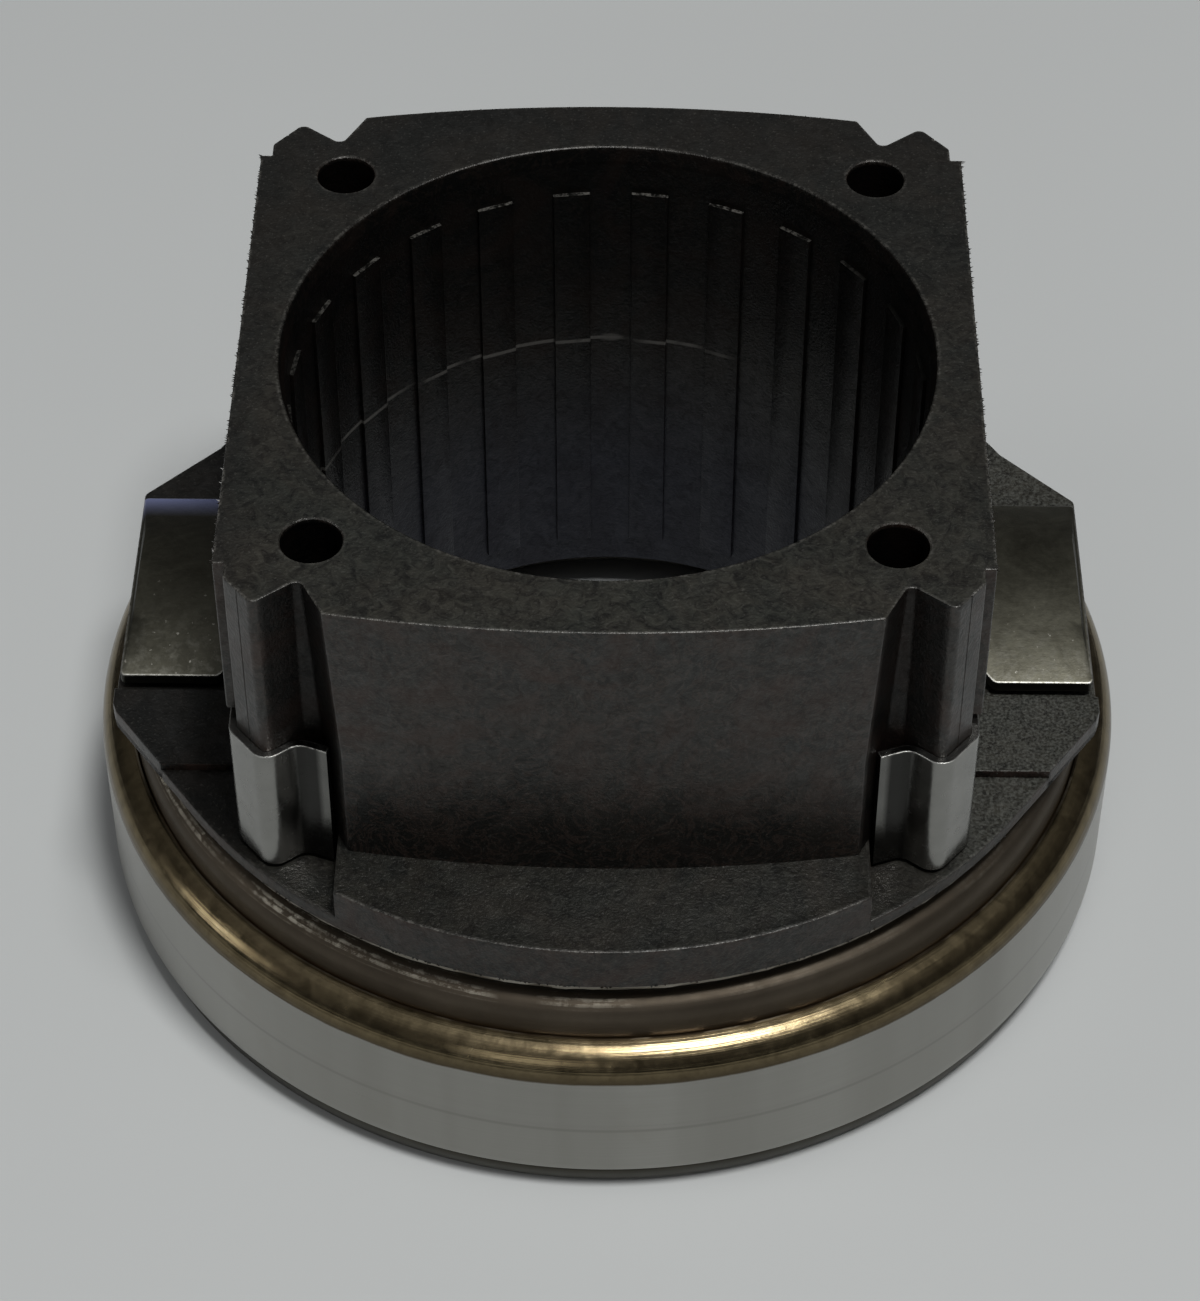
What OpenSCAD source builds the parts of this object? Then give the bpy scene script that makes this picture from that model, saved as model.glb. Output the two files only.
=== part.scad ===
// Clutch release bearing: a plastic guide sleeve with two clipped-on steel fork saddles, carried on
// an angular contact ball bearing whose contact ring turns with the clutch. All sizes in mm, +Z up,
// the bearing axis is Z and the contact face lies at z = 0.

/* [Guide bore] */
// Diameter of the gearbox guide tube that the sleeve slides on
guide_tube_d = 60; // [50:0.5:70]
// Radial running clearance between the tube and the guide ribs
guide_clear = 0.05; // [0.02:0.01:0.09]
// Number of guide ribs round the bore
rib_count = 24; // [12:2:30]
// Width of one guide rib
rib_w = 3.7; // [2.5:0.1:4.5]
// Height of the guide ribs above the plain bore
rib_h = 0.45; // [0.3:0.05:0.8]
// Length of the plain bore above and below the ribs
mouth_len = 5.3; // [3:0.1:8]
// Radial widening of the bore's lead-in at the top
lead_w = 0.5; // [0.2:0.1:1]
// Depth of the bore's lead-in at the top
lead_h = 1.5; // [0.8:0.1:2.5]

/* [Sleeve block] */
// Overall height from the contact face to the top of the block
overall_h = 61.7; // [56:0.1:70]
// Wall between the plain bore and the side panels
block_wall = 4.35; // [4:0.05:6]
// Wall between the plain bore and the crown of the bowed front face
face_wall = 7.1; // [6.5:0.1:9]
// Rise of the bowed front and back faces over their width
face_bow = 2.1; // [0.5:0.1:3]
// Amount that each side panel stands out beyond the strap wall
panel_proud = 1.1; // [0.9:0.05:1.6]
// Length of each side panel
panel_len = 58.4; // [50:0.1:60]
// Radius on the tip of each corner rib
tip_r = 0.9; // [0.5:0.1:1.2]
// Radius at the foot of each corner rib and in the hook grooves
groove_corner_r = 0.6; // [0.3:0.1:0.7]
// Room that the hook grooves gain from the top of the block down to the straps
hook_room = 0.8; // [0.7:0.05:1]
// Diameter of the four corner holes
corner_hole_d = 5.7; // [4:0.1:6.5]
// Depth of the four corner holes
corner_hole_depth = 30; // [10:1:32]

/* [Sleeve flange and hub] */
// Thickness of the flange at the wings
wing_t = 2.2; // [1.8:0.1:2.6]
// Distance from the axis forward to the wings' front corners
wing_front = 14.8; // [14:0.1:17]
// Distance from the axis back to the wings' rear corners
wing_rear = 17.2; // [16.6:0.1:18]
// Radius on the wings' rear corners
wing_corner_r = 0.8; // [0.3:0.1:1.5]
// Overhang of the wings beyond the round flange
wing_out = 0.5; // [0.2:0.1:1.5]
// Height of the raised front and back strips above the wings
strip_rise = 2.7; // [1:0.1:4]
// Depth of the corner pockets below the wings
pocket_d = 0.8; // [0.4:0.1:1.2]
// Wall of the hub tube inside the bearing
hub_wall = 3.4; // [3:0.1:4]
// Chamfer round the hub's lower end
hub_foot_edge = 0.6; // [0.3:0.1:1]
// Height of the hub's lower end above the contact face
hub_foot = 5.3; // [4:0.1:8]

/* [Fork saddles] */
// Sheet thickness of the saddles' straps and hooks
strap_t = 0.8; // [0.6:0.05:1]
// Height of the straps
strap_h = 14.7; // [10:0.1:16]
// Sheet thickness of the crowned pads
pad_t = 1.1; // [0.8:0.1:1.4]
// Crown radius of the pads
pad_crown_r = 41; // [35:0.5:60]
// Distance from the axis forward to the pads' front edge
pad_front = 10.9; // [10:0.1:12]
// Distance from the axis back to the pads' rear edge
pad_rear = 14.6; // [13:0.1:15]
// Radius on the pads' corners
pad_corner_r = 0.5; // [0.3:0.1:0.7]
// Width of the pads' cut corner beside the strap
pad_cut_w = 1.6; // [1:0.1:2.5]
// Length of the pads' cut corner beside the strap
pad_cut_len = 3.2; // [2:0.1:4]
// Width of the tab that joins each pad to its strap
pad_tab_w = 10; // [6:0.5:14]
// Height of the pads' crest above the wings
pad_crest = 2.5; // [2.2:0.1:4]
// Gap between the saddles' hooks and the corner ribs
hook_gap = 0.04; // [0.02:0.01:0.2]
// Bend radius of the hooks' lips, at the middle of the sheet
lip_bend_r = 2; // [1.3:0.1:2.4]

/* [Bearing] */
// Ball diameter
ball_d = 9.525; // [8.5:0.005:10]
// Number of balls
ball_count = 22; // [16:1:22]
// Gap between a ball and the raceways
race_gap = 0.15; // [0.12:0.01:0.2]
// Gap between a ball and its cage pocket
pocket_gap = 0.15; // [0.12:0.01:0.3]
// Height of the cage's rail above the balls
cage_rail_h = 3.4; // [2.8:0.1:3.6]
// Radial width of the cage's prongs
cage_prong_w = 4.2; // [3:0.1:4.4]
// Height of the cage's prongs
cage_prong_h = 7; // [6:0.1:7.5]
// Radial float between the hub and the bearing
centring_float = 1.1; // [0.6:0.1:1.5]
// Wall of the contact ring's tube
contact_wall = 3.2; // [2.8:0.1:4]
// Thickness of the contact ring's flange
contact_t = 2.6; // [2:0.1:3]
// Gap between the contact flange and the outer ring
ring_gap = 0.4; // [0.35:0.05:0.8]
// Height of the outer ring
outer_h = 16.2; // [15.8:0.1:18]
// Wall of the outer ring outside the balls
outer_wall = 4.35; // [3.8:0.05:5.5]
// Radius of the outer ring's rounded shoulder
shoulder_r = 3.2; // [2:0.1:3.5]

/* [Cover and spring] */
// Sheet thickness of the cover ring
cover_t = 1.1; // [0.8:0.1:1.3]
// Radius of the cover ring's rolled bead
bead_r = 2.4; // [1.8:0.1:2.6]
// Height of the bead's centre above the outer ring
bead_lift = 1.75; // [1.5:0.05:2.5]
// Drop from the top of the bead to the cover's web
web_drop = 0.75; // [0.5:0.05:1.2]
// Thickness of the snap ring
snap_t = 1.2; // [0.8:0.1:1.4]
// Height that the disc spring takes up
spring_h = 2; // [1.6:0.1:2.6]
// Sheet thickness of the disc spring
spring_t = 0.9; // [0.6:0.1:1.2]
// Thickness of the thrust plate under the flange
plate_t = 1.2; // [1:0.1:1.6]

/* [Hidden] */
$fn = 96;
eps = 0.01;
land_r = guide_tube_d / 2 + guide_clear;
bore_r = land_r + rib_h;
hub_r = bore_r + hub_wall;
race_bore_r = hub_r + centring_float;
tube_r = race_bore_r + contact_wall;
ball_r = ball_d / 2;
groove_r = ball_r + race_gap;
pitch_r = tube_r - 0.5 + ball_r;
outer_in_r = pitch_r + groove_r + 0.1;
outer_r = pitch_r + ball_r + outer_wall;
outer_z0 = contact_t + ring_gap;
outer_z1 = outer_z0 + outer_h;
ball_z = outer_z0 + 0.35 + 1 + 0.3 + ball_r + 0.2;
lip_r = pitch_r + 1.1;
seat_r = outer_r - shoulder_r - 0.1;
seat_z = outer_z1 - 1;
bead_z = outer_z1 + bead_lift;
bead_c = seat_r - bead_r;
web_z = bead_z + bead_r - web_drop - cover_t;
web_r = hub_r + 1.4;
plate_z = web_z + cover_t + spring_h;
flange_z = plate_z + plate_t;
flange_r = outer_r - 3.8;
plate_r = flange_r - 0.4;
wing_z = flange_z + wing_t;
pocket_z = wing_z - pocket_d;
strip_z = wing_z + strip_rise;
strap_z = pocket_z + 0.55;
panel_z = strap_z + strap_h + 0.7;
draft_a = atan(hook_room / (overall_h - panel_z));
half_w = bore_r + block_wall;
half_d = bore_r + face_wall;
side_x = half_w - panel_proud;
face_x = half_w - 10.15;
bow_r = (face_x * face_x + face_bow * face_bow) / (2 * face_bow);
corner_a = [side_x, half_d - 6.6];
corner_b = [side_x - 2.75, half_d - 3.3];
corner_c = [side_x - 6.25, half_d - 6];
corner_d = [side_x - 7, half_d - 6];
face_edge = [face_x, half_d - face_bow];
corner_e = corner_d + 1.8 * (face_edge - corner_d);
hole_xy = (bore_r + 3.7 + corner_hole_d / 2) / sqrt(2);
wing_x = flange_r + wing_out;
corner_dist = norm([wing_x, wing_front]);
tangent_a = atan2(wing_front, wing_x) + acos(flange_r / corner_dist);
strap_x = side_x + strap_t / 2;
pad_x0 = side_x + strap_t + 1.1;
pad_x1 = wing_x - 0.4;
pad_y = (pad_rear - pad_front) / 2;
pad_z = wing_z + pad_crest;
snap_z = web_z - snap_t;
snap_r = hub_r + 2;
seal_z = outer_z1 - 2.7;
cage_spin_ratio = (1 - ball_d / (2 * pitch_r) * cos(45)) / 2;

function ball_name(i) = str("ball_", i < 10 ? "0" : "", i);

// Direction from one plan point to another, as a unit vector
function dir(a, b) = (b - a) / norm(b - a);

// Half of the angle between the two legs that meet at a corner
function half_angle(a, b, c) = acos(dir(b, a) * dir(b, c)) / 2;

// Point on the leg from b towards a where a fillet of radius r begins
function fillet_end(a, b, c, r) = b + dir(b, a) * (r / tan(half_angle(a, b, c)));

// Centre of a fillet of radius r at corner b
function fillet_mid(a, b, c, r) =
  b + dir([0, 0], dir(b, a) + dir(b, c)) * (r / sin(half_angle(a, b, c)));

// Normal of one run of a path, to its left
function run_normal(path, i) = [-dir(path[i], path[i + 1])[1], dir(path[i], path[i + 1])[0]];

// Points along one side of a bent sheet, at distance o from its centreline, with a bend radius for each point
function sheet_side(path, r, o) = [
  for (i = [0 : len(path) - 1])
    for (k = [0, 1])
      if ((i > 0 || k == 1) && (i < len(path) - 1 || k == 0))
        i == 0
          ? path[0] + o * run_normal(path, 0)
          : i == len(path) - 1
            ? path[i] + o * run_normal(path, i - 1)
            : k == 0
              ? fillet_end(path[i - 1], path[i], path[i + 1], r[i]) + o * run_normal(path, i - 1)
              : fillet_end(path[i + 1], path[i], path[i - 1], r[i]) + o * run_normal(path, i)
];

// Points of a list from last to first
function reversed(pts) = [for (i = [len(pts) - 1 : -1 : 0]) pts[i]];

// Plan of a bent sheet that follows a list of centreline points with a bend radius for each
module bent_sheet(path, r, t) {
  bends = [for (i = [1 : len(path) - 2]) [path[i - 1], path[i], path[i + 1], r[i]]];
  difference() {
    union() {
      polygon(concat(sheet_side(path, r, t / 2), reversed(sheet_side(path, r, -t / 2))));
      for (v = bends) {
        m = fillet_mid(v[0], v[1], v[2], v[3]);
        p = fillet_end(v[0], v[1], v[2], v[3]) - m;
        q = fillet_end(v[2], v[1], v[0], v[3]) - m;
        translate(m)
          intersection() {
            circle(r = v[3] + t / 2);
            polygon([[0, 0], p * 3, (p + q) * 3, q * 3]);
          }
      }
    }
    for (v = bends)
      translate(fillet_mid(v[0], v[1], v[2], v[3]))
        circle(r = v[3] - t / 2);
  }
}

// Copy to all four corners by mirroring
module four_corners() {
  for (x = [0, 1])
    for (y = [0, 1])
      mirror([x, 0, 0])
        mirror([0, y, 0])
          children();
}

// Material that rounds out the inner corner b between the points a and c
module inner_fillet(a, b, c, r) {
  m = fillet_mid(a, b, c, r);
  difference() {
    polygon([fillet_end(a, b, c, r), b + (b - m) / 4, fillet_end(c, b, a, r), (b + m) / 2]);
    translate(m)
      circle(r = r);
  }
}

// Plan of one quarter of the sleeve block, with the rounded corner rib and the hook groove
module block_quarter() {
  foot = [side_x, 0];
  polygon([
    [-eps, -eps], [side_x, -eps],
    fillet_end(foot, corner_a, corner_b, groove_corner_r), fillet_end(corner_b, corner_a, foot, groove_corner_r),
    fillet_end(corner_a, corner_b, corner_c, tip_r), fillet_end(corner_c, corner_b, corner_a, tip_r),
    corner_c, corner_d, corner_e, [-eps, half_d + 1]
  ]);
  translate(fillet_mid(foot, corner_a, corner_b, groove_corner_r))
    circle(r = groove_corner_r);
  translate(fillet_mid(corner_a, corner_b, corner_c, tip_r))
    circle(r = tip_r);
  inner_fillet(corner_b, corner_c, corner_d, groove_corner_r);
  inner_fillet(corner_c, corner_d, corner_e, groove_corner_r);
}

// Cutter along the inner wall of a hook groove: drafted down to the strap, and straight behind it
module groove_room() {
  cut = [2 * (half_d - corner_d[1]), 1, (overall_h - panel_z) / cos(draft_a)];
  translate(corner_d)
    rotate([0, 0, atan2(face_edge[1] - corner_d[1], face_edge[0] - corner_d[0])]) {
      translate([0, 0, overall_h])
        rotate([draft_a, 0, 0])
          translate([0, -cut[1], -cut[2]])
            cube(cut + [0, 0, 1]);
      translate([0, -cut[1], pocket_z])
        cube([cut[0], cut[1] + hook_room, panel_z - pocket_z]);
    }
}

// Block above the flange: grooved corners, bowed faces and the two side panels
module sleeve_block() {
  difference() {
    intersection() {
      translate([0, 0, flange_z])
        linear_extrude(height = overall_h - flange_z)
          four_corners()
            block_quarter();
      for_bow(1);
      for_bow(-1);
    }
    four_corners()
      groove_room();
  }
  translate([-half_w, -panel_len / 2, panel_z])
    cube([2 * half_w, panel_len, overall_h - panel_z]);
}

// Large cylinder whose wall is the bowed face on one side
module for_bow(side) {
  translate([0, side * (half_d - bow_r), flange_z - 1])
    cylinder(r = bow_r, h = overall_h - flange_z + 2);
}

// Flange plan: a circle with two wings that run tangent into it in front and are cut at 45 degrees behind
module flange_plan() {
  side = [wing_x, 0];
  corner = [wing_x, wing_rear];
  chord = [wing_x + wing_rear, wing_x + wing_rear] / 2;
  circle(r = flange_r);
  for (x = [0, 1])
    mirror([x, 0, 0]) {
      polygon([
        [-1, -flange_r / 2], flange_r * [cos(tangent_a), -sin(tangent_a)], [wing_x, -wing_front],
        fillet_end(side, corner, chord, wing_corner_r), fillet_end(chord, corner, side, wing_corner_r),
        chord, [-1, flange_r / 2]
      ]);
      translate(fillet_mid(side, corner, chord, wing_corner_r))
        circle(r = wing_corner_r);
    }
}

// Crowned support under one pad, the same curve as the pad's underside
module pad_support(side) {
  intersection() {
    translate([side > 0 ? pad_x0 + 0.3 : -pad_x1 + 0.6, pad_y - 9.5, flange_z])
      cube([pad_x1 - pad_x0 - 0.9, 19, pad_crest + wing_t]);
    translate([0, pad_y, pad_z - pad_crown_r])
      rotate([0, 90, 0])
        cylinder(r = pad_crown_r - pad_t, h = 2 * wing_x + 2, center = true);
  }
}

// Flange with its raised strips, corner pockets, strap channels and the pad recesses that open to the rear
module sleeve_flange() {
  difference() {
    union() {
      translate([0, 0, flange_z])
        linear_extrude(height = wing_t)
          flange_plan();
      intersection() {
        translate([0, 0, flange_z])
          cylinder(r = flange_r, h = wing_t + strip_rise);
        translate([-face_x - 0.2, -flange_r - 1, flange_z])
          cube([2 * face_x + 0.4, 2 * flange_r + 2, wing_t + strip_rise]);
      }
    }
    four_corners()
      translate([face_x + 0.2, half_d - 15.3, pocket_z])
        cube([flange_r, flange_r, strip_rise + 5]);
    for (side = [-1, 1]) {
      translate([side * (side_x + (pad_x0 - side_x) / 2), 0, pocket_z + 5])
        cube([pad_x0 - side_x + 0.2, 2 * half_d - 20, 10], center = true);
      translate([side > 0 ? pad_x0 : -pad_x0 - flange_r, -pad_front - 1.3, wing_z - 1.4])
        cube([flange_r, 2 * flange_r, 10]);
    }
  }
  for (side = [-1, 1])
    pad_support(side);
}

// Cutter for the guide bore: a lead-in, plain ends, and raised ribs along the middle
module guide_bore() {
  rib_z0 = hub_foot + 3.3;
  rib_z1 = overall_h - mouth_len;
  translate([0, 0, hub_foot - 1])
    cylinder(r = land_r, h = overall_h - hub_foot + 2);
  translate([0, 0, overall_h - lead_h])
    cylinder(r1 = bore_r, r2 = bore_r + 2 * lead_w, h = 2 * lead_h);
  difference() {
    translate([0, 0, hub_foot - 1])
      cylinder(r = bore_r, h = overall_h - hub_foot + 2);
    for (k = [0 : rib_count - 1])
      rotate([0, 0, (k + 0.5) * 360 / rib_count])
        translate([land_r - 2, -rib_w / 2, rib_z0])
          cube([rib_h + 4, rib_w, rib_z1 - rib_z0]);
  }
}

// Guide sleeve: one glass-filled plastic moulding of block, flange and hub
module guide_sleeve() {
  color([0.22, 0.21, 0.2])
    difference() {
      union() {
        sleeve_block();
        sleeve_flange();
        translate([0, 0, hub_foot])
          cylinder(r1 = hub_r - hub_foot_edge, r2 = hub_r, h = hub_foot_edge);
        translate([0, 0, hub_foot + hub_foot_edge])
          cylinder(r = hub_r, h = flange_z - hub_foot - hub_foot_edge + 1);
      }
      guide_bore();
      for (x = [-1, 1])
        for (y = [-1, 1])
          translate([x * hole_xy, y * hole_xy, overall_h - corner_hole_depth])
            cylinder(d = corner_hole_d, h = corner_hole_depth + 1);
      translate([0, 0, snap_z])
        difference() {
          cylinder(r = hub_r + 1, h = snap_t + 0.1);
          translate([0, 0, -1])
            cylinder(r = hub_r - 1.2, h = snap_t + 3);
        }
    }
}

// Plan of a saddle's strap: along the side wall, round both corner ribs and into the hook grooves
module saddle_plan() {
  k = strap_t / 2 + hook_gap;
  tip = corner_b - dir([0, 0], dir(corner_b, corner_a) + dir(corner_b, corner_c))
    * (k / sin(half_angle(corner_a, corner_b, corner_c)));
  slope = (corner_a - corner_b)[1] / (corner_a - corner_b)[0];
  turn = [strap_x, tip[1] + (strap_x - tip[0]) * slope];
  valley = tip + dir(corner_b, corner_c) * (norm(corner_c - corner_b) - 0.75);
  half = [turn, tip, valley, valley + [-2.95, 1.1]];
  front = [for (v = half) [v[0], -v[1]]];
  rib_bend_r = tip_r + strap_t / 2;
  bend_r = [rib_bend_r, rib_bend_r, lip_bend_r, 0];
  bent_sheet(concat(reversed(half), front), concat(reversed(bend_r), bend_r), strap_t);
}

// Plan of a pad: straight sides, rounded corners and a cut corner beside the strap in front
module pad_plan() {
  pts = [
    [pad_x0, -pad_front + pad_cut_len], [pad_x0 + pad_cut_w, -pad_front], [pad_x1, -pad_front],
    [pad_x1, pad_rear], [pad_x0, pad_rear]
  ];
  corners = [for (i = [0 : 4]) [pts[(i + 4) % 5], pts[i], pts[(i + 1) % 5]]];
  polygon([
    for (c = corners)
      for (k = [0, 2])
        fillet_end(c[k], c[1], c[2 - k], pad_corner_r)
  ]);
  for (c = corners)
    translate(fillet_mid(c[0], c[1], c[2], pad_corner_r))
      circle(r = pad_corner_r);
}

// Crowned pad with a tab that joins it to the strap
module saddle_pad() {
  intersection() {
    translate([0, pad_y, pad_z - pad_crown_r])
      rotate([0, 90, 0])
        difference() {
          cylinder(r = pad_crown_r, h = 2 * wing_x, center = true);
          cylinder(r = pad_crown_r - pad_t, h = 2 * wing_x + 2, center = true);
        }
    translate([0, 0, wing_z - 4])
      linear_extrude(height = 12) {
        pad_plan();
        translate([strap_x, pad_y - pad_tab_w / 2])
          square([pad_x0 - strap_x + 1, pad_tab_w]);
      }
  }
}

// Fork saddle: one sheet-steel stamping of crowned pad, side strap and two corner hooks
module fork_saddle(side) {
  color([0.55, 0.53, 0.5])
    mirror([side < 0 ? 1 : 0, 0, 0])
      union() {
        translate([0, 0, strap_z])
          linear_extrude(height = strap_h)
            saddle_plan();
        saddle_pad();
      }
}

// Thrust plate: flat steel washer under the flange
module thrust_plate() {
  color([0.32, 0.3, 0.28])
    rotate_extrude()
      polygon([
        [hub_r + 0.4, plate_z], [plate_r - 0.3, plate_z], [plate_r, plate_z + 0.3],
        [plate_r, flange_z - 0.35], [plate_r - 0.35, flange_z], [hub_r + 0.4, flange_z]
      ]);
}

// Disc spring: shallow steel cone that presses the cover down from the thrust plate
module disc_spring() {
  r0 = hub_r + 2;
  r1 = bead_c - 1.7;
  z0 = web_z + cover_t;
  color([0.4, 0.4, 0.42])
    rotate_extrude()
      polygon([[r0, plate_z - spring_t], [r1, z0], [r1, z0 + spring_t], [r0, plate_z]]);
}

// Cover ring: pressed steel ring with a rolled bead, its leg pressed into the outer ring
module cover_ring() {
  color([0.36, 0.33, 0.3])
    rotate_extrude() {
      translate([web_r, web_z])
        square([bead_c - web_r, cover_t]);
      translate([bead_c - cover_t, web_z])
        square([cover_t, bead_z + bead_r - web_z]);
      translate([seat_r - cover_t, seat_z])
        square([cover_t, bead_z - seat_z]);
      translate([bead_c, bead_z])
        intersection() {
          difference() {
            circle(r = bead_r);
            circle(r = bead_r - cover_t);
          }
          square(bead_r + 1);
        }
    }
}

// Snap ring: split spring ring in the hub's groove, holding the cover's web
module snap_ring() {
  color([0.45, 0.45, 0.46])
    difference() {
      translate([0, 0, snap_z])
        cylinder(r = snap_r, h = snap_t);
      translate([0, 0, snap_z - 1])
        cylinder(r = hub_r - 1.2, h = snap_t + 2);
      translate([0, hub_r - 4, snap_z - 1])
        translate([-3, 0, 0])
          cube([6, 8, snap_t + 2]);
    }
}

// Outer ring: hardened stationary ring with the upper raceway and a ground outside
module outer_ring() {
  fillet_c = [outer_r - shoulder_r, outer_z1 - shoulder_r];
  color([0.75, 0.74, 0.72])
    rotate_extrude()
      difference() {
        union() {
          translate([outer_in_r, outer_z0])
            square([outer_r - outer_in_r, outer_h - shoulder_r]);
          translate([lip_r, ball_z + 2.2])
            square([fillet_c[0] - lip_r, outer_z1 - ball_z - 2.2]);
          translate(fillet_c)
            intersection() {
              circle(r = shoulder_r);
              translate([-0.5, -0.5])
                square(shoulder_r + 1);
            }
        }
        translate([pitch_r, ball_z])
          circle(r = groove_r);
        translate([lip_r - 1, seat_z])
          square([seat_r - lip_r + 1, 3]);
        polygon([[seat_r - eps, outer_z1 - 0.45], [seat_r + 0.4, outer_z1 + eps], [seat_r - eps, outer_z1 + eps]]);
      }
}

// Upper seal: rubber-covered disc pressed into the outer ring above the cage
module upper_seal() {
  color([0.1, 0.1, 0.1])
    rotate_extrude()
      polygon([
        [tube_r + 0.15, seal_z], [lip_r, seal_z], [lip_r, seal_z + 1.3],
        [tube_r + 0.9, seal_z + 1.3], [tube_r + 0.15, seal_z + 0.7]
      ]);
}

// Lower seal: rubber-covered disc pressed into the outer ring below the balls
module lower_seal() {
  color([0.1, 0.1, 0.1])
    rotate_extrude()
      polygon([
        [pitch_r + 0.7, outer_z0 + 0.35], [outer_in_r, outer_z0 + 0.35], [outer_in_r, outer_z0 + 1.35],
        [pitch_r + 1.4, outer_z0 + 1.35], [pitch_r + 0.7, outer_z0 + 0.9]
      ]);
}

// Contact ring: hardened turning ring with the lower raceway and the flange that meets the clutch
module contact_ring() {
  edge_r = 0.9;
  flange_edge = outer_r - 0.8;
  color([0.4, 0.36, 0.32])
    rotate_extrude()
      difference() {
        union() {
          translate([race_bore_r, 0])
            square([contact_wall, outer_z1 - 1.4]);
          translate([race_bore_r, 0])
            square([pitch_r + 0.5 - race_bore_r, ball_z - 1.4]);
          translate([race_bore_r, 0])
            square([flange_edge - edge_r - race_bore_r, contact_t]);
          translate([flange_edge - 2 * edge_r, edge_r])
            square([2 * edge_r, contact_t - edge_r]);
          translate([flange_edge - edge_r, edge_r])
            circle(r = edge_r);
        }
        translate([pitch_r, ball_z])
          circle(r = groove_r);
      }
}

// Ball cage: moulded crown cage, a rail above the balls with prongs between them
module ball_cage() {
  color([0.75, 0.68, 0.5])
    difference() {
      rotate_extrude() {
        translate([tube_r + 1, ball_z + 3])
          square([lip_r - 0.7 - tube_r - 1, cage_rail_h]);
        translate([pitch_r - 0.2 - cage_prong_w / 2, ball_z + 3.6 - cage_prong_h])
          square([cage_prong_w, cage_prong_h]);
      }
      for (i = [1 : ball_count])
        ball_place(i)
          sphere(r = ball_r + pocket_gap);
    }
}

// Place of one ball on the pitch circle
module ball_place(i) {
  rotate([0, 0, (i - 1) * 360 / ball_count])
    translate([pitch_r, 0, ball_z])
      children();
}

// One bearing ball
module ball(i) {
  color([0.85, 0.85, 0.87])
    ball_place(i)
      sphere(d = ball_d);
}

guide_sleeve();
fork_saddle(-1);  // fork_saddle_left
fork_saddle(1);  // fork_saddle_right
thrust_plate();
disc_spring();
cover_ring();
snap_ring();
outer_ring();
upper_seal();
lower_seal();
contact_ring();
ball_cage();
for (i = [1 : ball_count])
  ball(i);
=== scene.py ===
from math import acos, asin, atan2, cos, degrees, hypot, pi, radians, sin, sqrt, tan

import bmesh
import bpy
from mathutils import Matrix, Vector
from mathutils.geometry import delaunay_2d_cdt
from mathutils.noise import noise as noise_at


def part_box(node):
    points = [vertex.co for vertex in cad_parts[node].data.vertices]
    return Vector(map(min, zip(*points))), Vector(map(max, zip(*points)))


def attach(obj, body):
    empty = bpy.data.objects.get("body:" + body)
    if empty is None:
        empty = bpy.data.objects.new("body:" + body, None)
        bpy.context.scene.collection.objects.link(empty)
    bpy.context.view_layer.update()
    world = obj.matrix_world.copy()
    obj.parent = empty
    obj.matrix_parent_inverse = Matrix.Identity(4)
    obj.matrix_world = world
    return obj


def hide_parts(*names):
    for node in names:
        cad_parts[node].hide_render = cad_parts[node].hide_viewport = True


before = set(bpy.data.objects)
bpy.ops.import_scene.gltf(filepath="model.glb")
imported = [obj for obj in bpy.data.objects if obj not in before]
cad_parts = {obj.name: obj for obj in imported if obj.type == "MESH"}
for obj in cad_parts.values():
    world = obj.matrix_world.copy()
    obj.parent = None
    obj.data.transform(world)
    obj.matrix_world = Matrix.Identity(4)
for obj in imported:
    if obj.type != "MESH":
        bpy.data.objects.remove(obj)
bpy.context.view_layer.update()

# Contact ring: the bearing's turning ring, turned and hardened, with a flange that meets the clutch.
# Its outside is dark with oxide, and the face that the clutch rubs on is bright with turning marks.
# Sizes here and below are in mm, and become metres where a mesh is made.
mm = 0.001


def size_of(node):
    """Outer radius, lowest and highest point of a round CAD node, in mm."""
    low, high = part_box(node)
    return high.x / mm, low.z / mm, high.z / mm


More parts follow.
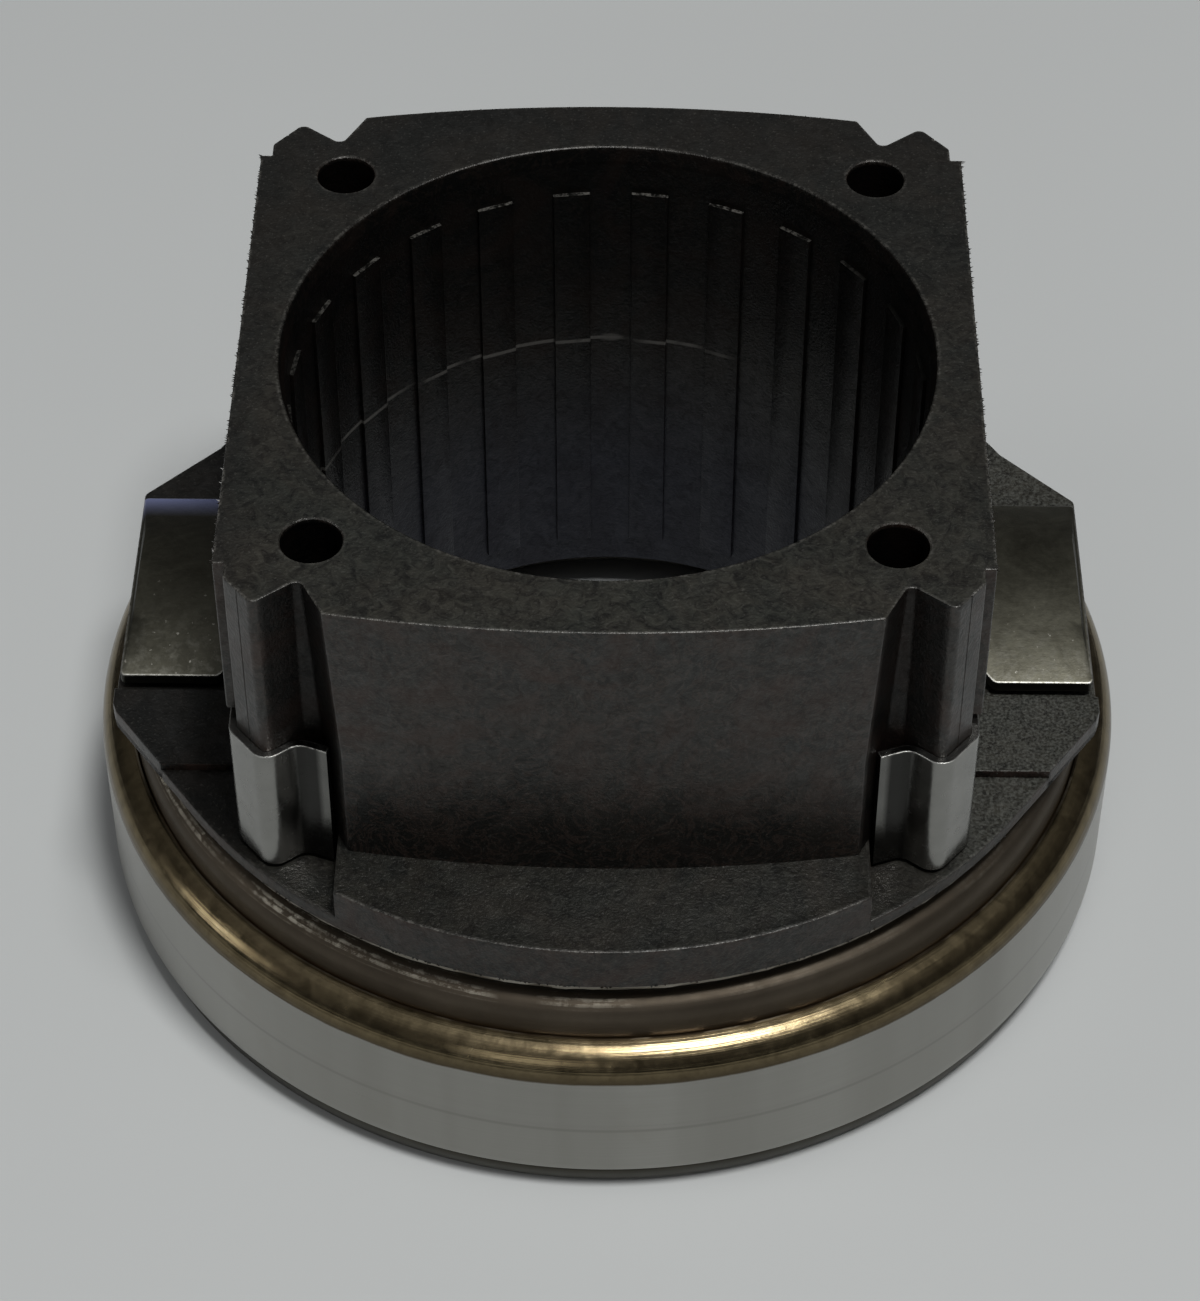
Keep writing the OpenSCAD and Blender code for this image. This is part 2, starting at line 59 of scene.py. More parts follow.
class Finish:
    """A node material in the making: its shader, and the nodes that feed the shader."""

    def __init__(self, name, **inputs):
        self.material = bpy.data.materials.new(name)
        self.material.use_nodes = True
        self.tree = self.material.node_tree
        self.shader = self.tree.nodes["Principled BSDF"]
        self.at = self.node("TexCoord").outputs["Object"]
        self.dress(**inputs)

    def put(self, socket, value):
        if isinstance(value, bpy.types.NodeSocket):
            self.tree.links.new(value, socket)
        else:
            socket.default_value = value

    def dress(self, **inputs):
        """Feed the shader's inputs, named with an underscore for each space."""
        for label, value in inputs.items():
            self.put(self.shader.inputs[label.replace("_", " ")], value)

    def node(self, kind, inputs=(), **settings):
        made = self.tree.nodes.new("ShaderNode" + kind)
        for label, value in settings.items():
            setattr(made, label, value)
        for socket, value in dict(inputs).items():
            self.put(made.inputs[socket], value)
        return made

    def measures(self):
        """Where a point of the piece lies along X, Y and Z, in mm."""
        in_mm = self.node("VectorMath", {0: self.at, 1: (1000, 1000, 1000)}, operation="MULTIPLY")
        return self.node("SeparateXYZ", {0: in_mm.outputs[0]}).outputs

    def upward(self):
        """How far the surface faces up, from 0 on upright walls to 1 on flat tops."""
        facing = self.node("SeparateXYZ", {0: self.node("TexCoord").outputs["Normal"]})
        return self.share(facing.outputs[2], 0.5, 0.9)

    def math(self, operation, a, b=0.0):
        return self.node("Math", {0: a, 1: b}, operation=operation).outputs[0]

    def times(self, product, *others):
        for other in others:
            product = self.math("MULTIPLY", product, other)
        return product

    def either(self, a, b):
        return self.math("MAXIMUM", a, b)

    def rest(self, share):
        return self.math("SUBTRACT", 1.0, share)

    def radius(self):
        """Distance from the bearing's axis, in mm."""
        x, y, _ = self.measures()
        return self.math("SQRT", self.math("ADD", self.times(x, x), self.times(y, y)))

    def share(self, value, low, high):
        """How far a value has gone from low to high, held between 0 and 1."""
        return self.node("MapRange", {"Value": value, "From Min": low, "From Max": high}).outputs["Result"]

    def between(self, value, low, high, soft):
        """One between low and high, falling to nothing over a soft edge."""
        return self.times(self.share(value, low - soft, low), self.share(value, high + soft, high))

    def scaled(self, value, low, high):
        """A share stretched to run from low to high."""
        return self.node("MapRange", {"Value": value, "To Min": low, "To Max": high}).outputs["Result"]

    def dimmed(self, value, share, factor):
        """A value that falls to a factor of itself where the share is full."""
        return self.times(value, self.scaled(share, 1.0, factor))

    def mix(self, share, a, b):
        """A colour between two others, each a socket or its red, green and blue."""
        a, b = ((*colour, 1) if isinstance(colour, tuple) else colour for colour in (a, b))
        return self.node("Mix", {"Factor": share, "A": a, "B": b}, data_type="RGBA").outputs["Result"]

    def coats(self, colour, *layers):
        """A colour with others laid over it in turn, each as far as its share says."""
        for share, coat in layers:
            colour = self.mix(share, colour, coat)
        return colour

    def blend(self, share, a, b):
        return self.node("Mix", {"Factor": share, "A": a, "B": b}).outputs["Result"]

    def noise(self, scale, detail=3.0, rough=0.55, twist=0.0, place=None):
        """Noise through the piece, or through another place that is worked out from it."""
        inputs = {"Scale": scale, "Detail": detail, "Roughness": rough, "Distortion": twist}
        inputs["Vector"] = self.at if place is None else place
        return self.node("TexNoise", inputs).outputs["Fac"]

    def turning_marks(self, lines, drift=30.0):
        """Noise in fine lines round the axis, so many to a mm, with a slow drift along each line."""
        wave = self.noise(drift, 2)
        line = self.math("ADD", self.times(self.radius(), lines), self.times(wave, 0.6))
        upright = self.times(self.measures()[2], lines)
        across = self.node("CombineXYZ", {0: line, 1: upright, 2: wave}).outputs[0]
        return self.noise(1.0, 3, 0.65, place=across)

    def worn(self):
        """The edge wear that each mesh carries."""
        return self.node("Attribute", attribute_name="wear").outputs["Fac"]

    def bump(self, height, strength, depth, under=None):
        """A relief of a depth in mm, on top of another where one is given."""
        inputs = {"Height": height, "Strength": strength, "Distance": depth * mm}
        if under is not None:
            inputs["Normal"] = under
        return self.node("Bump", inputs).outputs["Normal"]


def finished(name, mesh, material, body, sharp):
    """A smooth-shaded object for a mesh, riding on a body."""
    bm = bmesh.new()
    bm.from_mesh(mesh)
    bmesh.ops.remove_doubles(bm, verts=bm.verts, dist=1e-6)
    bmesh.ops.recalc_face_normals(bm, faces=bm.faces)
    bm.to_mesh(mesh)
    bm.free()
    mesh.shade_smooth()
    mesh.set_sharp_from_angle(angle=radians(sharp))
    mesh.materials.append(material)
    piece = bpy.data.objects.new(name, mesh)
    bpy.context.scene.collection.objects.link(piece)
    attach(piece, body)
    return piece


def bend(centre, r, start, end, steps=10):
    """Points on an arc of a ring's section, from one angle to another in degrees."""
    angles = [radians(start + (end - start) * k / steps) for k in range(steps + 1)]
    return [(centre[0] + r * cos(a), centre[1] + r * sin(a)) for a in angles]


def turned(name, section, material, body, sharp=30, steps=360):
    """A ring from a closed section of points: radius, height, edge wear and raggedness, in mm."""
    points, wear, faces = [], [], []
    section = [(*point, 0.0, 0.0)[:4] for point in section]
    for k in range(steps):
        a = 2 * pi * k / steps
        for i, (r, z, edge, rag) in enumerate(section):
            place = Vector((cos(a), sin(a), 0.05 * i))
            r += rag * (noise_at(place * 19) + 0.6 * noise_at(place * 61))
            z += rag * (noise_at(place * 23 + Vector((7, 0, 0))) + 0.6 * noise_at(place * 71))
            points.append((r * cos(a) * mm, r * sin(a) * mm, z * mm))
            wear.append(edge)
    n = len(section)
    for k in range(steps):
        for i in range(n):
            a, b = k * n + i, k * n + (i + 1) % n
            faces.append((a, b, (b + n) % len(points), (a + n) % len(points)))
    mesh = bpy.data.meshes.new(name)
    mesh.from_pydata(points, [], faces)
    mesh.attributes.new("wear", "FLOAT", "POINT").data.foreach_set("value", wear)
    return finished(name, mesh, material, body, sharp)


contact_r, _, contact_head = size_of("contact_ring")
contact_t, contact_bore, contact_wall = 2.6, 35.0, 3.2
contact_tube = contact_bore + contact_wall
flange_bend, tube_bevel, bore_bevel = 0.9, 0.4, 0.5
rubbed_in, rubbed_out = 42.0, 47.0
ball_r, race_gap, ball_clear, race_depth, race_reach = 4.7625, 0.15, 2.25, 0.5, 0.5
groove_r = ball_r + race_gap
pitch_r, ball_z = contact_tube - race_depth + ball_r, contact_t + ball_clear + ball_r

oxide = Finish("contact_ring_oxide", Metallic=1.0)
height = oxide.measures()[2]
marks = oxide.turning_marks(9)
cloud = oxide.noise(180, 5, 0.6)
low_band = oxide.mix(marks, (0.06, 0.058, 0.05), (0.13, 0.127, 0.115))
rubbed = oxide.mix(marks, (0.30, 0.295, 0.285), (0.52, 0.51, 0.49))
colour = oxide.coats(
    oxide.mix(cloud, (0.035, 0.033, 0.027), (0.085, 0.078, 0.062)),
    (oxide.share(height, 1.8, 1.2), low_band),
    # Painted shade: from 2.2 mm up, the flange's top edge and all above it, near black for the gap under the
    # outer ring.
    (oxide.share(height, 1.8, 2.2), (0.008, 0.008, 0.007)),
    (oxide.share(height, 0.4, 0.1), rubbed),
    (oxide.times(oxide.worn(), 0.75), (0.42, 0.40, 0.36)),
)
oxide.dress(
    Base_Color=colour,
    Roughness=oxide.scaled(oxide.noise(700, 4), 0.3, 0.55),
    Normal=oxide.bump(marks, 0.25, 0.04),
)
contact_section = [
    (contact_bore, bore_bevel, 0.3), (contact_bore + bore_bevel, 0.0, 0.3),
    (rubbed_in, 0.0), (rubbed_out, 0.0),
    *bend((contact_r - flange_bend, flange_bend), flange_bend, -90, 0, 8),
    (contact_r, contact_t - 0.3), (contact_r - 0.06, contact_t - 0.1, 0.3),
    (contact_r - 0.25, contact_t, 0.1), (contact_r - 0.6, contact_t), (pitch_r + race_reach, contact_t),
]
groove_start = -degrees(acos(race_reach / groove_r))
groove_end = degrees(acos((pitch_r - contact_tube) / groove_r)) - 180
contact_section += bend((pitch_r, ball_z), groove_r, groove_start, groove_end, 14)
contact_section += [
    (contact_tube, contact_head - tube_bevel), (contact_tube - tube_bevel, contact_head),
    (contact_bore + tube_bevel, contact_head), (contact_bore, contact_head - tube_bevel),
]
contact_ring = turned("turning_ring", contact_section, oxide.material, "contact")
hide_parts("contact_ring")

# Balls and cage: polished chrome-steel balls held apart by a moulded crown cage of natural nylon.
# They run in grease between the two rings and show only where the seals leave a gap.


def dress_node(name, finish):
    """Give a CAD node its finish."""
    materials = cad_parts[name].data.materials
    materials.clear()
    materials.append(finish.material)


ball_polish = Finish("ball_polish", Metallic=1.0)
ball_polish.dress(
    Base_Color=ball_polish.mix(ball_polish.noise(900, 4), (0.50, 0.50, 0.51), (0.62, 0.62, 0.63)),
    Roughness=ball_polish.scaled(ball_polish.noise(2600, 3), 0.05, 0.16),
)
nylon = Finish("cage_nylon", Specular_IOR_Level=0.4)
nylon.dress(
    Base_Color=nylon.mix(nylon.noise(240, 4), (0.44, 0.35, 0.20), (0.58, 0.48, 0.30)),
    Roughness=nylon.scaled(nylon.noise(1200, 3), 0.35, 0.6),
    Normal=nylon.bump(nylon.noise(4000, 2), 0.2, 0.05),
)
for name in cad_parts:
    if name.startswith("ball_"):
        dress_node(name, nylon if name == "ball_cage" else ball_polish)

# Seals: nitrile rubber on steel discs, pressed into the outer ring above and below the balls.
# Their lips run close to the turning ring without touching it.
rubber = Finish("seal_rubber", Specular_IOR_Level=0.3)
marks = rubber.turning_marks(2.5)
rubber.dress(
    Base_Color=rubber.mix(rubber.noise(300, 4), (0.012, 0.012, 0.012), (0.03, 0.029, 0.027)),
    Roughness=rubber.scaled(marks, 0.55, 0.85),
    Normal=rubber.bump(marks, 0.3, 0.06),
)
dress_node("upper_seal", rubber)
dress_node("lower_seal", rubber)

# Outer ring: the standing ring of the bearing, pressed from hardened steel with the upper raceway inside.
# Its outside is ground to a satin grey band, and the shoulder above keeps its straw-brown temper colour.
outer_r, outer_foot, outer_head = size_of("outer_ring")
shoulder_r = 3.2
shoulder_z, seat_z = outer_head - shoulder_r, outer_head - 1.0
race_r, lip_r, seat_r = pitch_r + groove_r + 0.1, pitch_r + 1.1, outer_r - shoulder_r - 0.1
race_rise, race_bevel, feed_z = 2.2, 0.35, 9.05

ground = Finish("ground_and_tempered_steel", Metallic=1.0)
height = ground.measures()[2]
marks = ground.turning_marks(14, 60)
# Painted reflection: soft upright darker patches on the ground band, for the room mirrored in it.
upright = ground.node("Mapping", {"Vector": ground.at, "Scale": (95, 95, 6)}).outputs[0]
reflected_streaks = ground.share(ground.noise(1.0, 3, 0.5, place=upright), 0.35, 0.65)
feed_line = ground.between(height, feed_z - 0.1, feed_z + 0.1, 0.2)
stain = ground.share(ground.noise(90, 3, 0.65), 0.56, 0.75)
scale_spots = ground.noise(520, 4, 0.7, 0.4)
temper = ground.mix(scale_spots, (0.036, 0.026, 0.013), (0.33, 0.265, 0.155))
brown_low = ground.share(height, shoulder_z + 1.6, shoulder_z + 0.1)
temper = ground.mix(ground.times(brown_low, 0.8), temper, (0.05, 0.038, 0.024))
wander = ground.times(ground.math("SUBTRACT", ground.noise(140, 3), 0.5), 0.4)
edge_height = ground.math("ADD", height, wander)
tempered = ground.share(edge_height, shoulder_z - 0.12, shoulder_z + 0.08)
colour = ground.coats(
    ground.mix(marks, (0.275, 0.27, 0.248), (0.355, 0.35, 0.325)),
    (ground.times(reflected_streaks, 0.6), (0.235, 0.229, 0.206)),
    (ground.times(feed_line, 0.5), (0.20, 0.195, 0.18)),
    (ground.times(stain, 0.3), (0.25, 0.235, 0.20)),
    (tempered, temper),
    (ground.times(ground.worn(), 0.8), (0.62, 0.58, 0.50)),
)
satin = ground.scaled(marks, 0.24, 0.36)
scaly = ground.scaled(scale_spots, 0.13, 0.33)
drawn = ground.times(ground.turning_marks(2.4, 70), tempered)
pits = ground.times(ground.noise(2200, 4, 0.7), tempered)
relief = ground.bump(marks, 0.12, 0.02)
relief = ground.bump(drawn, 0.5, 0.1, relief)
ground.dress(
    Base_Color=colour,
    Roughness=ground.blend(tempered, satin, scaly),
    Normal=ground.bump(pits, 0.2, 0.06, relief),
)

outer_section = [
    (race_r, outer_foot + race_bevel), (race_r + race_bevel, outer_foot), (outer_r - 0.2, outer_foot),
    (outer_r - 0.05, outer_foot + 0.06, 0.3), (outer_r, outer_foot + 0.22), (outer_r, outer_foot + 1.0),
    (outer_r, shoulder_z - 0.6), *bend((outer_r - shoulder_r, shoulder_z), shoulder_r, 0, 84, 16),
    (seat_r + 0.22, outer_head - 0.01, 0.5, 0.02), (seat_r + 0.13, outer_head - 0.06, 1.0, 0.04),
    (seat_r + 0.02, outer_head - 0.3), (seat_r, seat_z), (lip_r, seat_z),
]
race_top = degrees(acos((lip_r - pitch_r) / groove_r))
race_low = degrees(asin(race_rise / groove_r))
outer_section += bend((pitch_r, ball_z), groove_r, race_top, race_low, 12)
outer_section += [(race_r, ball_z + race_rise)]
outer_ring = turned("standing_ring", outer_section, ground.material, "sleeve")
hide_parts("outer_ring")

# Cover and snap ring: a pressed sheet ring whose rolled bead closes the bearing, its leg pushed into the
# outer ring. Its sheared top edge is left rough. A split spring ring on the hub holds the cover's web.
_, cover_foot, cover_head = size_of("cover_ring")
bead_r, cover_t, web_drop, web_r = 2.4, 1.1, 0.75, contact_bore + 0.3
bead_c, bead_z = seat_r - bead_r, cover_head - bead_r
web_z = cover_head - web_drop - cover_t

pressed = Finish("pressed_cover_steel", Metallic=1.0)
across, _, height = pressed.measures()
drawn = pressed.turning_marks(3.5, 90)
film = pressed.noise(150, 5, 0.6)
# Painted shade: the bead's lower part and the groove below it darkened to brown.
groove_shade = pressed.share(height, outer_head + 0.6, outer_head - 0.1)
# Near the bead's top: real rough flakes of the sheared edge, brightened as a painted highlight and laid more
# thickly to the left, where the highlight falls.
near_top = pressed.share(height, cover_head - 1.1, cover_head - 0.6)
flakes = pressed.share(pressed.times(pressed.noise(850, 4, 0.75), drawn), 0.24, 0.34)
flaked = pressed.share(pressed.noise(95, 3), 0.42, 0.62)
glint_to_left = pressed.scaled(pressed.share(across, 6, -12), 0.12, 1.0)
torn = pressed.times(near_top, flakes, flaked, glint_to_left)
torn = pressed.either(torn, pressed.times(pressed.worn(), 0.5))
colour = pressed.coats(
    pressed.mix(film, (0.056, 0.045, 0.033), (0.128, 0.106, 0.080)),
    (pressed.times(groove_shade, 0.85), (0.075, 0.048, 0.024)),
    (torn, (0.52, 0.485, 0.40)),
)
pressed.dress(
    Base_Color=colour,
    Roughness=pressed.scaled(pressed.noise(900, 4), 0.42, 0.62),
    Normal=pressed.bump(torn, 0.3, 0.06, pressed.bump(drawn, 0.3, 0.05)),
)
cover_section = [
    (web_r, web_z), (bead_c - cover_t * 0.5, web_z), (seat_r - cover_t, bead_z - 0.5),
    (seat_r - cover_t, cover_foot), (seat_r, cover_foot), (seat_r, bead_z),
    *bend((bead_c, bead_z), bead_r, 0, 74, 16),
    (bead_c + 0.45, cover_head - 0.04, 0.2, 0.02), (bead_c + 0.2, cover_head - 0.02, 0.8, 0.05),
    (bead_c - 0.3, cover_head - 0.06, 1.0, 0.09), (bead_c - 0.8, cover_head - 0.12, 0.8, 0.09),
    (bead_c - cover_t, cover_head - 0.3, 0.3, 0.04), (bead_c - cover_t, web_z + cover_t),
    (web_r, web_z + cover_t),
]
cover_ring = turned("rolled_cover", cover_section, pressed.material, "sleeve")
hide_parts("cover_ring")

spring_steel = Finish("blued_spring_steel", Metallic=1.0)
spring_steel.dress(
    Base_Color=spring_steel.mix(spring_steel.noise(220, 4), (0.07, 0.07, 0.075), (0.16, 0.155, 0.15)),
    Roughness=spring_steel.scaled(spring_steel.turning_marks(5), 0.3, 0.5),
)
dress_node("snap_ring", spring_steel)

# Disc spring and thrust plate: a shallow spring cone presses the cover down from a flat punched washer.
# The washer shows as a rough thin edge under the sleeve's flange.
dress_node("disc_spring", spring_steel)
plate_r, plate_foot, plate_head = size_of("thrust_plate")
plate_bore = contact_bore - 0.7

punched = Finish("punched_plate_steel", Metallic=1.0)
tear = punched.noise(700, 5, 0.7)
colour = punched.mix(tear, (0.13, 0.12, 0.10), (0.34, 0.315, 0.27))
torn = punched.share(punched.noise(420, 5), 0.5, 0.62)
burr = punched.times(punched.worn(), torn)
punched.dress(
    Base_Color=punched.mix(burr, colour, (0.46, 0.44, 0.39)),
    Roughness=punched.scaled(tear, 0.35, 0.6),
    Normal=punched.bump(punched.noise(1800, 4), 0.5, 0.1),
)
plate_section = [
    (plate_bore, plate_foot), (plate_r - 0.3, plate_foot, 0.2, 0.04),
    (plate_r - 0.05, plate_foot + 0.3, 0.4, 0.11), (plate_r - 0.03, plate_head - 0.55, 0.3, 0.11),
    (plate_r - 0.1, plate_head - 0.3, 1.0, 0.09), (plate_r - 0.35, plate_head - 0.02, 0.6, 0.02),
    (plate_bore, plate_head - 0.02),
]
thrust_plate = turned("punched_washer", plate_section, punched.material, "sleeve")
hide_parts("thrust_plate")

# Guide sleeve: one moulding of glass-filled plastic with a square block, a winged flange and a hub.
# The hub passes down through the bearing, the saddles clip round the block's corner ribs, and the two
# cores of the mould met halfway down the bore.
low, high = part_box("guide_sleeve")
hub_foot, top_z = low.z / mm, high.z / mm
wing_x, flange_r = high.x / mm, high.y / mm
flange_z = plate_head
block_foot, sunk_z = flange_z + 0.5, flange_z + 0.3
hub_r, hub_wall, rib_h = contact_bore - 1.1, 3.4, 0.45
bore_r = hub_r - hub_wall
land_r, core_r = bore_r - rib_h, bore_r + 0.7
half_w, half_d, panel_proud = bore_r + 4.35, bore_r + 7.1, 1.1
side_x, face_x, face_bow = half_w - panel_proud, half_w - 10.15, 2.1
bow_r = (face_x**2 + face_bow**2) / (2 * face_bow)
panel_y, panel_z = 29.2, 43.15
wing_front, wing_rear, tip_cut, wing_z = 14.8, 17.2, 0.6, flange_z + 2.2
recess_z, pocket_z, strip_z = wing_z - 1.4, wing_z - 0.8, wing_z + 2.7
pocket_y = half_d - 15.3
hole_at, hole_r, hole_depth = 26.198, 2.85, 30.0
lead_w, lead_h = 0.5, 1.5
parting_z, gate_z, gate_r, gate_flat = 37.15, 37.2, 1.3, 2.2


def plan(corners, d=0.0, steps=6):
    """A closed outline from corners and their radii, moved inwards by d."""
    n, moved, bends, line = len(corners), [], [], []
    for i in range(n):
        p = Vector(corners[i][:2])
        a, b = p - Vector(corners[i - 1][:2]), Vector(corners[(i + 1) % n][:2]) - p
        na, nb = Vector((-a.y, a.x)).normalized(), Vector((-b.y, b.x)).normalized()
        both = (na + nb).normalized()
        moved.append(p + both * (d / max(0.3, both.dot(na))))
        bends.append(a.x * b.y - a.y * b.x)
    for i in range(n):
        p, r = moved[i], (*corners[i], 0.0)[2]
        if r <= 0:
            line.append(tuple(p))
            continue
        r = max(0.02, r - d if bends[i] > 0 else r + d)
        to_a, to_b = (moved[i - 1] - p).normalized(), (moved[(i + 1) % n] - p).normalized()
        half = to_a.angle(to_b) / 2
        start, end = p + to_a * (r / tan(half)), p + to_b * (r / tan(half))
        middle = p + (to_a + to_b).normalized() * (r / sin(half))
        for k in range(steps + 1):
            spoke = (start - middle).lerp(end - middle, k / steps)
            line.append(tuple(middle + spoke.normalized() * r))
    return line


def all_round(quarter):
    """All corners of an outline from those between the X and Y axes."""
    second = [(-c[0], *c[1:]) for c in reversed(quarter)]
    third = [(-c[0], -c[1], *c[2:]) for c in quarter]
    fourth = [(c[0], -c[1], *c[2:]) for c in reversed(quarter)]
    return quarter[:-1] + second[:-1] + third[:-1] + fourth[:-1]


def at_corner(corners, sx, sy):
    """The outline at another corner of the part, running anticlockwise again."""
    moved = [(sx * c[0], sy * c[1], *c[2:]) for c in corners]
    return moved if sx * sy > 0 else moved[::-1]


def circle(r, n, cx=0.0, cy=0.0):
    return [(cx + r * cos(2 * pi * k / n), cy + r * sin(2 * pi * k / n)) for k in range(n)]


def rim_arc(r, start, end, steps):
    angles = [start + (end - start) * k / steps for k in range(steps + 1)]
    return [(r * cos(a), r * sin(a)) for a in angles]


def encloses(outline, p):
    odd = False
    for (x0, y0), (x1, y1) in zip(outline, outline[1:] + outline[:1]):
        if (y0 > p[1]) != (y1 > p[1]) and p[0] < (x1 - x0) * (p[1] - y0) / (y1 - y0) + x0:
            odd = not odd
    return odd


class Shell:
    """Points in mm with their edge wear, and the faces between them."""

    def __init__(self):
        self.points, self.wear, self.faces = [], [], []

    def loop(self, outline, z, wear=0.0):
        first = len(self.points)
        self.points += [(x, y, z) for x, y in outline]
        self.wear += [wear] * len(outline)
        return list(range(first, len(self.points)))

    def wall(self, *loops):
        for a, b in zip(loops, loops[1:]):
            self.faces += [(a[i - 1], a[i], b[i], b[i - 1]) for i in range(len(a))]

    def lid(self, rim, holes=(), inner=()):
        """A flat face inside the rim, round the holes and through the inner points."""
        inner = self.loop(inner, self.points[rim[0]][2])
        order = rim + [i for hole in holes for i in hole] + inner
        edges, first = [], 0
        for ring in (rim, *holes):
            edges += [(first + k, first + (k + 1) % len(ring)) for k in range(len(ring))]
            first += len(ring)
        flat = [Vector(self.points[i][:2]) for i in order]
        spots, _, triangles, source, _, _ = delaunay_2d_cdt(flat, edges, [], 0, 1e-7)
        outline = [self.points[i][:2] for i in rim]
        gaps = [[self.points[i][:2] for i in hole] for hole in holes]
        for triangle in triangles:
            middle = [sum(spots[i][k] for i in triangle) / 3 for k in (0, 1)]
            if encloses(outline, middle) and not any(encloses(gap, middle) for gap in gaps):
                self.faces.append(tuple(order[source[i][0]] for i in triangle))

    def prism(self, corners, z0, z1, edge=0.2, wear=1.0, hole=None, inner=()):
        """A raised form with a worn upper edge, open round a hole where one is given."""
        rings = [
            self.loop(plan(corners, d * edge), z, w * wear)
            for d, z, w in (
                (0, z0, 0), (0, z1 - 3 * edge, 0), (0, z1 - edge, 0.5),
                (0.3, z1 - 0.3 * edge, 1), (1, z1, 1), (2.5, z1, 0),
            )
        ]
        self.wall(*rings)
        below, above = [], []
        if hole:
            below, above = [self.loop(hole, z0)], [self.loop(hole, z1)]
            self.wall(above[0], below[0])
        self.lid(rings[0], below)
        self.lid(rings[-1], above, inner)

    def piece(self, name, material, body, slot, sharp=30):
        mesh = bpy.data.meshes.new(name)
        mesh.from_pydata([Vector(p) * mm for p in self.points], [], self.faces)
        mesh.attributes.new("wear", "FLOAT", "POINT").data.foreach_set("value", self.wear)
        return finished(name, mesh, material, body, sharp)


plastic = Finish("glass_filled_plastic")
across, along, height = plastic.measures()
aside, ahead = plastic.math("ABSOLUTE", across), plastic.math("ABSOLUTE", along)
out = plastic.radius()
cloud = plastic.noise(75, 4, 0.65, 1.8)
flow = plastic.noise(240, 3, 0.6, 3.2)
mottle = plastic.noise(800, 4, 0.72, 1.2)
grain = plastic.noise(3400, 2, 0.65)
chipped = plastic.share(plastic.noise(2100, 3, 0.75), 0.44, 0.6)

# Where the plastic is: facing up or sideways, on the block, the wing, the foot of a wall, or in the holes
# and hook grooves, where shade is painted.
up = plastic.upward()
on_wall = plastic.rest(up)
on_block = plastic.share(height, 35, 40)
on_wing = plastic.math("SUBTRACT", plastic.share(across, 31, 36), on_block)
sagging = plastic.math("ADD", height, plastic.times(plastic.math("SUBTRACT", cloud, 0.5), 16))
foot = plastic.times(plastic.share(sagging, 44, 34.5), plastic.between(out, 35, 43, 1), on_wall)
in_bore = plastic.share(out, core_r, core_r - 0.3)
in_groove = plastic.times(
    plastic.between(aside, face_x - 0.7, side_x - 3.75, 0.6),
    plastic.between(ahead, half_d - 6.4, half_d - 2.7, 0.3),
    on_wall,
)
in_plan = plastic.node("CombineXYZ", {0: aside, 1: ahead}).outputs[0]
off_hole = plastic.node("VectorMath", {0: in_plan, 1: (hole_at, hole_at, 0)}, operation="DISTANCE")
in_hole = plastic.times(
    plastic.share(off_hole.outputs["Value"], hole_r + 0.1, hole_r + 0.05),
    plastic.share(height, top_z - 0.1, top_z - 0.6),
)
# Painted shade: the holes and the hook grooves are laid near black and lose gloss.
hollow_shade = plastic.either(plastic.times(in_groove, 0.75), in_hole)

# Stains, brown swirls on the walls, dust on the tops mixed with painted sheen that grows towards the front,
# glass fibres, painted glints on the right wing, and pale chipped edges.
stain = plastic.share(cloud, 0.36, 0.66)
swirl = plastic.times(plastic.between(flow, 0.485, 0.515, 0.03), 0.55, on_wall)
rust = plastic.share(plastic.noise(62, 3, 0.6, 2.5), 0.46, 0.66)
rust = plastic.times(rust, on_wall, plastic.scaled(foot, 0.9, 0.15))
# Dust mixed with painted sheen: up-facing tops are lightened more towards the front and on the right wing,
# and not at all on the left wing.
handling_and_front_sheen = plastic.times(plastic.share(along, 38, -38), plastic.scaled(on_block, 0.45, 1.0))
dust_and_sheen = plastic.times(plastic.either(handling_and_front_sheen, on_wing), plastic.share(across, -36, -31))
dust_and_sheen = plastic.times(up, dust_and_sheen, plastic.share(mottle, 0.36, 0.64))
dust_and_sheen_colour = plastic.mix(stain, (0.0180, 0.0190, 0.0146), (0.0255, 0.0240, 0.0182))
# Glass fibres everywhere, and on the right wing more of them plus glints, as painted sparkle from the light.
fibre_and_sparkle = plastic.times(plastic.share(grain, 0.61, 0.71), plastic.scaled(on_wing, 0.35, 1.0))
glint = plastic.times(on_wing, up, plastic.share(grain, 0.4, 0.62), 0.7)
strip_end = plastic.between(aside, face_x, face_x + 0.3, 0.1)
strip_end = plastic.times(strip_end, plastic.share(height, 35, 33))
edge = plastic.times(plastic.worn(), plastic.scaled(strip_end, 0.75, 0.1), chipped)
edge = plastic.times(edge, plastic.scaled(plastic.share(flow, 0.4, 0.56), 0.2, 1.0))

# In the bore: walls darkened as painted shade, painted highlights on the rib ends, a painted blue sheen low
# down, a broken parting line, a gate mark.
# Painted highlight: the rib ends that face up are pale, strongest at the rear.
rib_end_highlight = plastic.times(up, in_bore, plastic.share(height, top_z - 3.2, top_z - 3.7), chipped)
rib_end_highlight = plastic.times(rib_end_highlight, plastic.scaled(plastic.share(along, 6, 22), 0.35, 1.0))
rib_end_highlight = plastic.times(rib_end_highlight, plastic.share(across, 26, 12))
